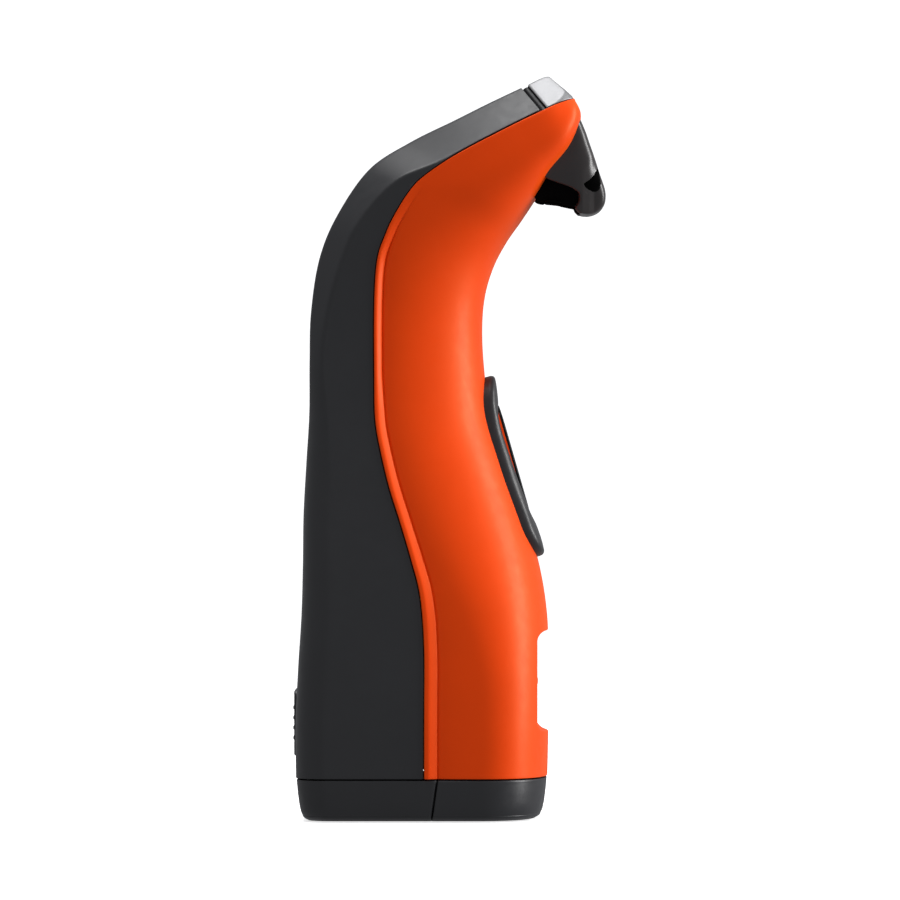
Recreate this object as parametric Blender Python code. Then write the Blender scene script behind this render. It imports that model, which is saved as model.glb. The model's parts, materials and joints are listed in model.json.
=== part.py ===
"""Handheld 3-D scanner: a cordless gooseneck grip with an overhanging scan head.

The object stands on its foot at rest. Origin: centre of the foot's underside. +Z is up, +X is the
aiming side, where the trigger and the scan hood are, and the XZ plane is the plane of symmetry.
Every size below is in millimetres; MM turns it into Blender's metres where a mesh is made.
"""

import math

import bmesh
import bpy
from mathutils import Matrix, Vector

MM = 0.001
GAP = 0.3  # clearance between two pieces that touch
WALL = 2.2  # wall of the shells

# The housing is a loft. Each row is one cross-section, foot to nose: the point on the back line,
# the point on the front line, the half width, the depth and roundness of the back corners, the
# squareness of the front, which is a superellipse's exponent, and the flat side's length as a share
# of the depth in front of the back corner.
SECTIONS = [
    # back x, back z, front x, front z, half width, corner depth, corner roundness, squareness, flat side
    (-36.7, 12.8, 38.2, 12.8, 28.5, 9.0, 1.0, 2.3, 0.7),
    (-36.8, 28.0, 38.5, 28.0, 28.5, 9.0, 1.0, 2.3, 0.7),
    (-36.1, 45.0, 38.5, 45.0, 28.0, 9.0, 1.0, 2.3, 0.68),
    (-35.1, 61.0, 38.1, 61.0, 27.2, 9.0, 1.0, 2.3, 0.6),
    (-34.7, 76.0, 35.7, 76.0, 26.2, 8.5, 1.0, 2.3, 0.5),
    (-34.5, 91.0, 31.3, 90.5, 25.0, 8.0, 1.0, 2.3, 0.4),
    (-33.7, 106.0, 25.9, 106.0, 23.8, 7.0, 0.8, 2.3, 0.31),
    (-32.8, 121.0, 21.2, 120.0, 22.8, 5.0, 0.5, 2.3, 0.26),
    (-32.7, 136.0, 19.2, 135.0, 22.2, 3.6, 0.2, 2.3, 0.25),
    (-32.3, 151.0, 18.7, 147.0, 22.0, 4.8, 0.0, 2.3, 0.25),
    (-29.8, 167.0, 19.6, 156.5, 22.2, 6.5, 0.0, 2.3, 0.25),
    (-24.4, 180.0, 22.2, 165.0, 22.6, 6.8, 0.0, 2.3, 0.25),
    (-15.0, 193.5, 26.0, 172.2, 23.0, 8.6, 0.0, 2.4, 0.25),
    (-2.9, 201.6, 30.6, 178.8, 23.2, 10.8, 0.0, 2.6, 0.25),
    (10.3, 208.1, 35.3, 186.0, 23.0, 10.0, 0.0, 3.0, 0.25),
    (21.3, 213.6, 39.2, 192.6, 22.4, 9.6, 0.0, 3.6, 0.25),
    (31.6, 218.5, 44.6, 199.8, 21.4, 9.4, 0.0, 4.2, 0.25),
    (36.0, 220.7, 47.5, 206.2, 19.5, 8.6, 0.0, 4.5, 0.25),
    (38.3, 221.3, 48.0, 210.6, 17.5, 7.0, 0.0, 4.5, 0.25),
    (39.3, 220.5, 46.1, 214.4, 16.0, 5.0, 0.0, 4.0, 0.25),
]
LAST = len(SECTIONS) - 1
FRONT_STEPS = 6
CORNER_STEPS = 3
VOID_END = (38.0, 219.0, 45.5, 212.3, 14.0, 4.0, 0.0, 3.0, 0.25)  # front end of the hollow, inside the nose
# Places on the housing's rings, counted two to a row of SECTIONS.
NOSE_RING = 26
STRIP_RINGS = (26, 37)
HOOD_RING = 24
BEZEL_RINGS = (6, 20)

# Parting line of the two shells, in the XZ plane, foot to nose.
SEAM = [
    (1.3, 0.0), (1.3, 29.0), (1.3, 50.7), (0.1, 66.5), (-2.6, 77.4), (-5.8, 88.2),
    (-9.1, 98.7), (-11.7, 109.5), (-13.3, 118.9), (-13.6, 130.8), (-13.6, 153.6),
    (-12.7, 166.4), (-10.3, 173.8), (-7.6, 179.6), (-2.9, 187.1), (1.9, 191.8),
    (11.4, 198.0), (25.6, 205.5), (37.4, 211.3), (42.4, 213.4), (46.6, 214.5), (55.6, 215.8),
]  # fmt: skip
SEAM_STEPS = 44

# The head's end: the rear shell stops at one slanted plane, and the nose cap starts at the next.
REAR_END = ((30.1, 218.0), (35.7, 210.7))
CAP_START = ((32.0, 219.0), (37.6, 211.7))
FAR = 300.0  # well outside the object

TRIGGER_FACE = (28.6, 0.0, 106.1)  # a point on the trigger's outer face
TRIGGER_TILT = math.radians(16.0)  # how far that face looks up
BEZEL_SIZE = (56.0, 21.0)
BEZEL_SHIFT = 0.8  # bezel's centre, down from the trigger's
BEZEL_RISE = 2.5
BEZEL_DEPTH = 2.0
TRIGGER_SIZE = (36.0, 12.0)
TRIGGER_GAP = 0.5
TRIGGER_TRAVEL = 1.8
FACE_THICK = 1.2
KEY_TOP = -1.5  # these heights are along the trigger's own normal, from its outer face
KEY_BOTTOM = -9.5
FLANGE_THICK = 1.5
SWITCH_BOTTOM = -16.0
TRIGGER_BOARD_THICK = 1.3

RECESS = (26.1, 56.2)  # flat across the front, between these heights
RECESS_FLOOR_X = 35.0
RECESS_ROUND = 3.2
CONTACT_Z = 41.0  # the dock contacts' height, in the middle of the recess
CONTACT_HALF_Y = 7.0
CONTACT_HALF_Z = 4.0
PIN_PITCH = 3.2
PIN_COUNT = 4
PIN_RADIUS = 0.8

LATCH_CENTRE_Z = 28.6
LATCH_SIZE = (19.6, 19.6)
LATCH_FACE_X = -37.5
LATCH_BACK_X = -32.5
LATCH_TRAVEL = 1.5
LATCH_LIP = 1.6
LATCH_LIP_THICK = 1.1
LATCH_STOP_GAP = 1.3
BRACKET_HALF_Y = 13.0

BASE_TOP = 12.4
BASE_BOTTOM = 0.2
BASE_WALL = 2.0
BASE_SPLIT = ((5.2, 11.5), (3.5, -0.3))  # slanted joint between the two foot mouldings
# Each row of the foot: height, and how far its outline is inside the housing's.
BASE_ROWS = [(BASE_TOP, 0.2), (8.0, 0.6), (4.0, 1.2), (1.6, 2.0), (0.7, 2.8), (BASE_BOTTOM, 4.0)]
PAD_INSET = 8.0
PAD_TOP = 1.4

CELL_RADIUS = 9.2
CELL_LENGTH = 65.0
CELL_X = -16.0
CELL_Y = 10.4
TRAY_FLOOR = 4.3
TRAY_WALL = 1.5
TRAY_X = (-28.0, -4.0)
TRAY_Y = 21.4
TRAY_TOP = 73.6
FLANGE_X = (-30.0, 25.0)
FLANGE_Y = 15.0

HOOD_OUTLINE = [
    (44.0, 211.0), (47.5, 208.3), (50.4, 200.1), (52.9, 193.9), (55.3, 188.2), (55.8, 184.9),
    (54.2, 181.2), (50.0, 179.8), (45.0, 182.2), (40.5, 183.6), (35.6, 184.1), (34.0, 190.0),
]  # fmt: skip
HOOD_HOLLOW = [
    (42.0, 206.0), (46.6, 205.4), (48.9, 199.4), (51.2, 193.2), (52.9, 187.8), (51.8, 184.7),
    (48.6, 183.9), (48.2, 170.0), (37.8, 170.0), (37.8, 192.0),
]  # fmt: skip
HOOD_HOLE = [
    (53.0, 193.4), (51.3, 192.3), (49.5, 190.4), (48.9, 188.8), (50.0, 187.3), (51.9, 186.9),
    (53.3, 187.5), (53.8, 188.7), (53.6, 191.2),
]  # fmt: skip
HOOD_HALF = 15.0
HOOD_WALL = 2.0

WINDOW_CENTRE = (42.5, 0.0, 197.0)
WINDOW_LOOK = (0.82, 0.0, -0.57)
WINDOW_OPENING = (11.0, 26.0)
WINDOW_DEPTH = 2.6

OPTICS_FRONT = (38.95, 0.0, 203.7)  # middle of the lens plane
OPTICS_LOOK = (0.30, 0.0, -0.954)
CAMERA_Y = 8.5
BARREL_LENGTH = 4.0
MODULE_LENGTH = 7.0

CHASSIS_LINE = [(3.0, 24.0), (3.0, 150.0), (8.0, 172.0), (20.0, 192.0), (33.0, 204.4)]
CHASSIS_THICK = 2.4
CHASSIS_HALF = 9.5
BOARD_X = (-1.2, 0.4)
BOARD_Z = (26.0, 150.0)
CABLE_LINE = [
    (-2.2, 143.0), (-1.8, 154.0), (0.5, 168.0), (5.5, 181.0), (14.5, 195.5), (22.5, 205.0),
    (27.0, 210.6), (29.6, 212.2),
]  # fmt: skip

# Each row of shell screws: height, the x of the parting line and of the back face there, and the
# length of the front shell's boss, which ends in the wall.
SCREW_ROWS = [(97.0, -8.8, -34.7, 25.0), (150.0, -13.8, -32.9, 17.0)]
SCREW_Y = 14.0
BASE_SCREWS = [(-25.0, -10.0), (-25.0, 10.0), (20.0, -10.0), (20.0, 10.0)]
BOSS_RADIUS = 3.7
HEAD_BORE = 2.6
SHANK_BORE = 1.45
SEAT_DEPTH = 5.0  # from the parting line to the seat of the screw's head
BOSS_GAP = 1.2  # from the parting line to each boss's end

MATERIALS = {
    # name: base colour, roughness, metallic
    "orange_shell": ((0.86, 0.09, 0.01), 0.42, 0.0),
    "charcoal_shell": ((0.03, 0.03, 0.033), 0.5, 0.0),
    "satin_metal": ((0.72, 0.72, 0.75), 0.3, 1.0),
    "black_gloss": ((0.008, 0.008, 0.009), 0.12, 0.0),
    "hood_plastic": ((0.04, 0.033, 0.033), 0.4, 0.0),
    "grip_rubber": ((0.07, 0.07, 0.078), 0.55, 0.0),
    "foot_rubber": ((0.015, 0.015, 0.016), 0.75, 0.0),
    "glass": ((0.2, 0.22, 0.24), 0.05, 0.0),
    "circuit_board": ((0.01, 0.12, 0.05), 0.4, 0.0),
    "inner_plastic": ((0.05, 0.05, 0.055), 0.6, 0.0),
    "cell_wrap": ((0.02, 0.12, 0.4), 0.35, 0.0),
    "steel": ((0.6, 0.6, 0.62), 0.3, 1.0),
    "gold_contact": ((0.85, 0.6, 0.2), 0.25, 1.0),
    "copper_flex": ((0.75, 0.3, 0.08), 0.45, 0.0),
}


# ---------------------------------------------------------------- curves and sections


def smooth(rows, place):
    """The Catmull-Rom curve through rows, where place counts rows from 0."""
    spans = len(rows) - 1
    i = min(max(int(place), 0), spans - 1)
    u = place - i
    around = [rows[min(max(i + k, 0), spans)] for k in (-1, 0, 1, 2)]
    return [
        0.5 * (2 * b + (c - a) * u + (2 * a - 5 * b + 4 * c - d) * u**2 + (3 * b - a - 3 * c + d) * u**3)
        for a, b, c, d in zip(*around)
    ]


def half_outline(depth, half, corner, roundness, square, side):
    """One side of a cross-section, as (distance from the back line, half width), back to front."""
    flat = half - corner
    points = [(0.0, 0.0), (0.0, flat)]
    for step in range(1, CORNER_STEPS + 1):
        share = step / CORNER_STEPS
        angle = share * math.pi / 2
        s = roundness * (1 - math.cos(angle)) + (1 - roundness) * share
        y = roundness * math.sin(angle) + (1 - roundness) * share
        points.append((corner * s, flat + corner * y))
    widest = corner + side * (depth - corner)
    points.append((widest, half))
    for step in range(1, FRONT_STEPS + 1):
        angle = step / FRONT_STEPS * math.pi / 2
        s = math.sin(angle) ** (2 / square)
        y = math.cos(angle) ** (2 / square) if step < FRONT_STEPS else 0.0
        points.append((widest + (depth - widest) * s, half * y))
    return points


def ring(row, inset=0.0):
    """The closed cross-section of a row, moved in by inset, as points in millimetres."""
    back_x, back_z, front_x, front_z, half, corner, roundness, square, side = row
    back = Vector((back_x, 0, back_z))
    across = Vector((front_x, 0, front_z)) - back
    direction = across.normalized()
    corner = max(corner - (2 - math.sqrt(2)) * inset, 0.6)
    outline = half_outline(across.length - 2 * inset, half - inset, corner, roundness, square, side)
    near = [back + direction * (inset + s) - Vector((0, y, 0)) for s, y in outline]
    far = [back + direction * (inset + s) + Vector((0, y, 0)) for s, y in outline[-2:0:-1]]
    return near + far


def housing_rings(inset, steps_per_row):
    count = LAST * steps_per_row
    return [ring(smooth(SECTIONS, i / steps_per_row), inset) for i in range(count + 1)]


def seam_points(shift):
    """The parting line, moved by shift towards the front."""
    spans = len(SEAM) - 1
    line = [Vector(smooth(SEAM, i / SEAM_STEPS * spans)) for i in range(SEAM_STEPS + 1)]
    moved = []
    for i, point in enumerate(line):
        along = line[min(i + 1, SEAM_STEPS)] - line[max(i - 1, 0)]
        normal = Vector((along.y, -along.x)).normalized()
        moved.append(tuple(point + normal * shift))
    return moved


# ---------------------------------------------------------------- mesh helpers


def material(name):
    known = bpy.data.materials.get(name)
    if known:
        return known
    made = bpy.data.materials.new(name)
    made.use_nodes = True
    color, roughness, metallic = MATERIALS[name]
    shader = made.node_tree.nodes["Principled BSDF"]
    shader.inputs["Base Color"].default_value = (*color, 1.0)
    shader.inputs["Roughness"].default_value = roughness
    shader.inputs["Metallic"].default_value = metallic
    made.diffuse_color = (*color, 1.0)
    return made


def add_mesh(name, mesh_data, finish, place=None):
    """A new object from a bmesh in millimetres, at place (a matrix in millimetres)."""
    bmesh.ops.recalc_face_normals(mesh_data, faces=mesh_data.faces)
    bmesh.ops.scale(mesh_data, vec=(MM, MM, MM), verts=mesh_data.verts)
    mesh = bpy.data.meshes.new(name)
    mesh_data.to_mesh(mesh)
    mesh_data.free()
    mesh.shade_smooth()
    mesh.set_sharp_from_angle(angle=math.radians(35))
    obj = bpy.data.objects.new(name, mesh)
    bpy.context.scene.collection.objects.link(obj)
    if place is not None:
        spot = place.copy()
        spot.translation = place.translation * MM
        obj.matrix_world = spot
    if finish:
        mesh.materials.append(material(finish))
    return obj


def loft(name, rings, finish=None, place=None):
    """A solid through closed rings of points, capped at both ends."""
    shape = bmesh.new()
    rows = [[shape.verts.new(p) for p in points] for points in rings]
    for low, high in zip(rows, rows[1:]):
        for i, vertex in enumerate(low):
            j = (i + 1) % len(low)
            shape.faces.new((vertex, low[j], high[j], high[i]))
    shape.faces.new(rows[0])
    shape.faces.new(rows[-1])
    return add_mesh(name, shape, finish, place)


def extrusion(name, outline, low, high, finish=None, place=None, axis="Y"):
    """A prism of an outline: in XZ along Y, or in a place's own XY along its Z."""
    if axis == "Y":
        rings = [[(x, y, z) for x, z in outline] for y in (low, high)]
    else:
        rings = [[(x, y, z) for x, y in outline] for z in (low, high)]
    shape = bmesh.new()
    rows = [[shape.verts.new(p) for p in points] for points in rings]
    for i, vertex in enumerate(rows[0]):
        j = (i + 1) % len(outline)
        shape.faces.new((vertex, rows[0][j], rows[1][j], rows[1][i]))
    shape.faces.new(rows[0])
    shape.faces.new(rows[1])
    return add_mesh(name, shape, finish, place)


def stadium(length, width, steps=8):
    """An outline with two straight sides along X and round ends."""
    radius = width / 2
    reach = length / 2 - radius
    points = []
    for side in (1, -1):
        for step in range(steps + 1):
            angle = math.pi * (step / steps - 0.5)
            points.append((side * (reach + radius * math.cos(angle)), side * radius * math.sin(angle)))
    return points


def block(name, low, high, finish=None, place=None):
    """A box between two corners, in a place's own axes."""
    outline = [(low[0], low[1]), (high[0], low[1]), (high[0], high[1]), (low[0], high[1])]
    return extrusion(name, outline, low[2], high[2], finish, place, axis="Z")


def circle(radius, sides, centre=(0.0, 0.0)):
    turn = 2 * math.pi / sides
    return [
        (centre[0] + radius * math.cos(i * turn), centre[1] + radius * math.sin(i * turn))
        for i in range(sides)
    ]


def rod(name, radius, low, high, finish=None, place=None, sides=16):
    """A cylinder along a place's own Z."""
    return extrusion(name, circle(radius, sides), low, high, finish, place, axis="Z")


def turned(name, profile, finish=None, place=None, sides=12):
    """A round solid along a place's own Z, from (radius, height) pairs, low end first."""
    rings = [[(x, y, z) for x, y in circle(radius, sides)] for radius, z in profile]
    return loft(name, rings, finish, place)


def facing(origin, look):
    """A place whose Z points along look, in the XZ plane, and whose Y is the object's."""
    z = Vector(look).normalized()
    y = Vector((0, 1, 0))
    x = y.cross(z)
    place = Matrix((x, y, z)).transposed().to_4x4()
    place.translation = Vector(origin)
    return place


def coil_spring(name, radius, wire, low, high, turns, place):
    """A compression spring along a place's own Z."""
    points_per_turn = 12
    count = int(turns * points_per_turn)
    curve = bpy.data.curves.new(name, "CURVE")
    curve.dimensions = "3D"
    curve.bevel_depth = wire * MM
    curve.bevel_resolution = 1
    curve.use_fill_caps = True
    spline = curve.splines.new("POLY")
    spline.points.add(count)
    for i, point in enumerate(spline.points):
        angle = 2 * math.pi * i / points_per_turn
        height = low + (high - low) * i / count
        spot = place @ Vector((radius * math.cos(angle), radius * math.sin(angle), height))
        point.co = (*(spot * MM), 1.0)
    curve.materials.append(material("steel"))
    spring = bpy.data.objects.new(name, curve)
    bpy.context.scene.collection.objects.link(spring)
    return spring


def apply_cut(obj, tool, operation):
    tool.hide_render = True
    tool.display_type = "WIRE"
    modifier = obj.modifiers.new(f"{operation.lower()} {tool.name}", "BOOLEAN")
    modifier.operation = operation
    modifier.object = tool
    modifier.solver = "EXACT"
    return obj


def subtract(obj, *tools):
    for tool in tools:
        apply_cut(obj, tool, "DIFFERENCE")
    return obj


def keep(obj, tool):
    return apply_cut(obj, tool, "INTERSECT")


def unite(obj, *tools):
    for tool in tools:
        apply_cut(obj, tool, "UNION")
    return obj


def moving_group(name, origin):
    """The empty that a moving body's pieces hang on."""
    group = bpy.data.objects.new(name, None)
    group.empty_display_size = 0.01
    group.location = Vector(origin) * MM
    bpy.context.scene.collection.objects.link(group)
    return group


def hang(group, *pieces):
    for piece in pieces:
        piece.parent = group
        piece.matrix_parent_inverse = Matrix.Translation(-group.location)


# ---------------------------------------------------------------- housing


def plane_side(name, edge, keep_front):
    """A prism that covers one side of a slanted plane, given by two points in XZ."""
    top, bottom = Vector(edge[0]), Vector(edge[1])
    along = (top - bottom).normalized()
    side = Vector((along.y, -along.x)) * (FAR if keep_front else -FAR)
    high, low = top + along * FAR, bottom - along * FAR
    outline = [tuple(high), tuple(low), tuple(low + side), tuple(high + side)]
    return extrusion(name, outline, -FAR, FAR)


def front_of_seam(name, shift):
    line = seam_points(shift)
    outline = line + [(FAR, line[-1][1]), (FAR, -FAR), (line[0][0], -FAR)]
    return extrusion(name, outline, -FAR, FAR)


def behind_seam(name, shift):
    line = seam_points(shift)
    high = FAR
    outline = line + [(line[-1][0], high), (-FAR, high), (-FAR, -FAR), (line[0][0], -FAR)]
    return extrusion(name, outline, -FAR, FAR)


def make_void():
    """The hollow of the housing, which runs out through the foot's end."""
    rings = [ring(SECTIONS[i], WALL) for i in range(LAST - 1)]
    start = [Vector(p) - Vector((0, 0, 10.0)) for p in rings[0]]
    return loft("housing_void", [start, *rings, ring(VOID_END)])


def screw_places():
    """Each screw's number, its place on the parting line with Z along +X, and its row."""
    spots = [(y, row) for row in SCREW_ROWS for y in (-SCREW_Y, SCREW_Y)]
    return [(i, along_x(row[1], y, row[0]), row) for i, (y, row) in enumerate(spots, 1)]


def along_x(x, y, z):
    return facing((x, y, z), (1, 0, 0))


def recess_outline():
    """The flat cut across the front, with round inner corners."""
    low, high = RECESS
    r = RECESS_ROUND
    inner = RECESS_FLOOR_X
    lower = [(inner + r * (1 - math.sin(a)), low + r * (1 - math.cos(a))) for a in (0.0, 0.5, 1.0)]
    upper = [(inner + r * (1 - math.sin(a)), high - r * (1 - math.cos(a))) for a in (1.0, 0.5, 0.0)]
    return [(FAR, low), *lower, (inner, low + r), (inner, high - r), *upper, (FAR, high)]


def make_recess_pad():
    """The thicker wall behind the flat recess, which follows the inside of the shell."""
    pad = loft("recess_pad", housing_rings(WALL / 2, 2)[:10])
    low, high = RECESS
    inner = RECESS_FLOOR_X - WALL
    return keep(pad, block("recess_room", (inner, -26.0, low - 2.0), (60.0, 26.0, high + 2.0)))


def make_front_shell(void):
    shell = loft("front_shell", housing_rings(0.0, 2), "orange_shell")
    subtract(shell, void)
    keep(shell, front_of_seam("front_half", GAP / 2))
    unite(shell, make_recess_pad())
    for i, place, (_, _, _, reach) in screw_places():
        unite(shell, rod(f"front_boss_{i}", BOSS_RADIUS, BOSS_GAP, reach, place=place))
        subtract(shell, rod(f"front_pilot_{i}", SHANK_BORE, -1, 12, place=place))
    recess = extrusion("recess_cut", recess_outline(), -FAR, FAR)
    half_y, half_z = CONTACT_HALF_Y + GAP, CONTACT_HALF_Z + GAP
    low, high = (30.0, -half_y, CONTACT_Z - half_z), (40.0, half_y, CONTACT_Z + half_z)
    contact_hole = block("contact_hole", low, high)
    trigger = facing(TRIGGER_FACE, (math.cos(TRIGGER_TILT), 0, math.sin(TRIGGER_TILT)))
    size = [side + 2 * GAP for side in BEZEL_SIZE]
    outline = [(x + BEZEL_SHIFT, y) for x, y in stadium(*size)]
    bezel_hole = extrusion("bezel_hole", outline, -14, 12, place=trigger, axis="Z")
    half_x, half_y = (side / 2 for side in WINDOW_OPENING)
    window = facing(WINDOW_CENTRE, WINDOW_LOOK)
    window_hole = block("window_hole", (-half_x, -half_y, -6.5), (half_x, half_y, 8), place=window)
    return subtract(shell, recess, contact_hole, bezel_hole, window_hole)


def make_rear_shell(void):
    shell = loft("rear_shell", housing_rings(0.0, 2), "charcoal_shell")
    subtract(shell, void)
    keep(shell, behind_seam("rear_half", -GAP / 2))
    keep(shell, plane_side("rear_end", REAR_END, keep_front=False))
    for i, place, (_, seam_x, back_x, _) in screw_places():
        back = back_x - seam_x
        unite(shell, rod(f"rear_boss_{i}", BOSS_RADIUS, back + 1.0, -BOSS_GAP, place=place))
        subtract(
            shell,
            rod(f"head_bore_{i}", HEAD_BORE, back - 5, -SEAT_DEPTH, place=place),
            rod(f"shank_bore_{i}", SHANK_BORE, -SEAT_DEPTH - 2, 2, place=place),
        )
    half_y, half_z = (side / 2 + 0.4 for side in LATCH_SIZE)
    low, high = LATCH_CENTRE_Z - half_z, LATCH_CENTRE_Z + half_z
    return subtract(shell, block("latch_hole", (-45, -half_y, low), (-30, half_y, high)))


def make_head_end(void):
    """The metal nose cap, and the black indicator strip behind it."""
    cap = loft("nose_cap", housing_rings(0.0, 2)[NOSE_RING:], "satin_metal")
    subtract(cap, void)
    keep(cap, behind_seam("above_seam", -GAP / 2))
    keep(cap, plane_side("cap_start", CAP_START, keep_front=True))
    strip = loft("indicator_lens", housing_rings(0.4, 2)[slice(*STRIP_RINGS)], "black_gloss")
    subtract(strip, void)
    keep(strip, behind_seam("above_seam_strip", -GAP / 2))
    normal = Vector((REAR_END[0][1] - REAR_END[1][1], REAR_END[1][0] - REAR_END[0][0])).normalized()
    rear_face = [tuple(Vector(p) + normal * GAP) for p in REAR_END]
    cap_face = [tuple(Vector(p) - normal * GAP) for p in CAP_START]
    keep(strip, plane_side("strip_start", rear_face, keep_front=True))
    keep(strip, plane_side("strip_end", cap_face, keep_front=False))
    return cap, strip


def make_hood():
    """The hollow hood under the nose, cut to sit on the front shell."""
    hood = extrusion("scan_hood", HOOD_OUTLINE, -HOOD_HALF, HOOD_HALF, "hood_plastic")
    hollow_half = HOOD_HALF - HOOD_WALL
    return subtract(
        hood,
        loft("nose_clearance", housing_rings(-GAP, 2)[HOOD_RING:]),
        extrusion("hood_hollow", HOOD_HOLLOW, -hollow_half, hollow_half),
        extrusion("hood_hole", HOOD_HOLE, -FAR, FAR),
    )


# ---------------------------------------------------------------- trigger


def make_trigger():
    """The bezel is fixed; the key and its face travel along their own normal."""
    place = facing(TRIGGER_FACE, (math.cos(TRIGGER_TILT), 0, math.sin(TRIGGER_TILT)))
    length, width = TRIGGER_SIZE
    bezel = loft("trigger_bezel", housing_rings(-BEZEL_RISE, 2)[slice(*BEZEL_RINGS)], "grip_rubber")
    outline = [(x + BEZEL_SHIFT, y) for x, y in stadium(*BEZEL_SIZE)]
    first, last = BEZEL_RINGS
    subtract(bezel, loft("bezel_inside", housing_rings(BEZEL_DEPTH, 2)[first - 2 : last + 2]))
    keep(bezel, extrusion("bezel_outline", outline, -20, 12, place=place, axis="Z"))
    opening = stadium(length + 2 * TRIGGER_GAP, width + 2 * TRIGGER_GAP)
    subtract(bezel, extrusion("key_hole", opening, -20, 12, place=place, axis="Z"))

    outline = stadium(length, width)
    face = extrusion("trigger_face", outline, -FACE_THICK, 0, "black_gloss", place, "Z")
    key = extrusion("trigger_button", outline, KEY_BOTTOM, KEY_TOP, "orange_shell", place, "Z")
    flange = stadium(length + 4.0, width + 3.0)
    flange_top = KEY_BOTTOM + FLANGE_THICK
    unite(key, extrusion("key_flange", flange, KEY_BOTTOM, flange_top, place=place, axis="Z"))
    spring_place = place @ Matrix.Translation((-9.0, 0, 0))
    spring_end, plunger_end = KEY_BOTTOM - 0.7, KEY_BOTTOM - TRIGGER_TRAVEL - 0.4
    spring = coil_spring("trigger_spring", 2.4, 0.3, SWITCH_BOTTOM + 0.4, spring_end, 4, spring_place)
    low, high = (5.0, -3.0, SWITCH_BOTTOM), (11.0, 3.0, SWITCH_BOTTOM + 2.8)
    switch = block("trigger_switch", low, high, "inner_plastic", place)
    plunger_place = place @ Matrix.Translation((8, 0, 0))
    unite(switch, rod("switch_plunger", 1.5, SWITCH_BOTTOM + 2, plunger_end, place=plunger_place))
    board_top = SWITCH_BOTTOM - GAP
    low, high = (-16.0, -7.0, board_top - TRIGGER_BOARD_THICK), (16.0, 7.0, board_top)
    board = block("trigger_board", low, high, "circuit_board", place)
    group = moving_group("trigger_axis", TRIGGER_FACE)
    hang(group, face, key)
    return bezel, spring, switch, board


# ---------------------------------------------------------------- battery pack and latch


def base_rings(extra, bottom):
    """The foot's rings, moved in by extra, from its top down to bottom."""
    rings = []
    for height, inset in BASE_ROWS:
        points = ring(SECTIONS[0], inset + extra)
        rings.append([(p.x, p.y, max(height, bottom)) for p in points])
    return rings


def make_base():
    pieces = []
    pad_outline = [(p.x, p.y) for p in ring(SECTIONS[0], PAD_INSET)]
    pad_seat = [(p.x, p.y) for p in ring(SECTIONS[0], PAD_INSET - GAP)]
    for name, keep_front in (("base_rear", False), ("base_front", True)):
        cup = loft(name, base_rings(0.0, BASE_BOTTOM), "charcoal_shell")
        hollow_rows = [ring(SECTIONS[0], BASE_WALL + 1.0 + inset) for inset in (0.0, 1.4)]
        heights = (BASE_TOP + 2, TRAY_FLOOR - GAP)
        hollow = [[(p.x, p.y, z) for p in row] for row, z in zip(hollow_rows, heights)]
        subtract(cup, loft(f"{name}_hollow", hollow))
        sign = 1 if keep_front else -1
        edge = [(x + sign * GAP / 2, z) for x, z in BASE_SPLIT]
        keep(cup, plane_side(f"{name}_side", edge, keep_front))
        subtract(cup, extrusion(f"{name}_pad_seat", pad_seat, -2, PAD_TOP + GAP, axis="Z"))
        pieces.append(cup)
    pad = extrusion("foot_pad", pad_outline, 0.0, PAD_TOP, "foot_rubber", axis="Z")
    screws = []
    for i, (x, y) in enumerate(BASE_SCREWS, 1):
        place = Matrix.Translation((x, y, 0))
        cup = pieces[0] if x < 0 else pieces[1]
        subtract(cup, rod(f"base_hole_{i}", 1.5, 0, 6, place=place))
        subtract(cup, rod(f"base_counterbore_{i}", 2.4, 0, 2.9, place=place))
        profile = [(1.9, 1.8), (2.1, 2.0), (2.1, 2.6), (1.1, 2.6), (1.1, 5.5)]
        screws.append(turned(f"base_screw_{i}", profile, "steel", place))
    return [*pieces, pad, *screws]


def make_battery():
    tray = block(
        "battery_tray",
        (TRAY_X[0], -TRAY_Y, TRAY_FLOOR),
        (TRAY_X[1], TRAY_Y, TRAY_TOP),
        "inner_plastic",
    )
    flange_low, flange_high = TRAY_FLOOR, TRAY_FLOOR + TRAY_WALL
    unite(
        tray,
        block("tray_flange", (FLANGE_X[0], -FLANGE_Y, flange_low), (FLANGE_X[1], FLANGE_Y, flange_high)),
    )
    pocket_low = (TRAY_X[0] + TRAY_WALL, -TRAY_Y + TRAY_WALL, flange_high)
    pocket_high = (TRAY_X[1] + 2, TRAY_Y - TRAY_WALL, TRAY_TOP - TRAY_WALL)
    subtract(tray, block("tray_pocket", pocket_low, pocket_high))
    cells = []
    for name, y in (("battery_cell_left", -CELL_Y), ("battery_cell_right", CELL_Y)):
        place = Matrix.Translation((CELL_X, y, flange_high + GAP))
        end = CELL_LENGTH - 1.0
        profile = [
            (CELL_RADIUS - 0.5, 0.0), (CELL_RADIUS, 0.5), (CELL_RADIUS, end - 0.5),
            (CELL_RADIUS - 0.5, end), (2.8, end), (2.8, CELL_LENGTH),
        ]  # fmt: skip
        cells.append(turned(name, profile, "cell_wrap", place, sides=24))
    for i, (x, y) in enumerate(BASE_SCREWS, 1):
        place = Matrix.Translation((x, y, 0))
        subtract(tray, rod(f"tray_pilot_{i}", 1.4, 3, 8, place=place))
    return [tray, *cells]


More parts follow.
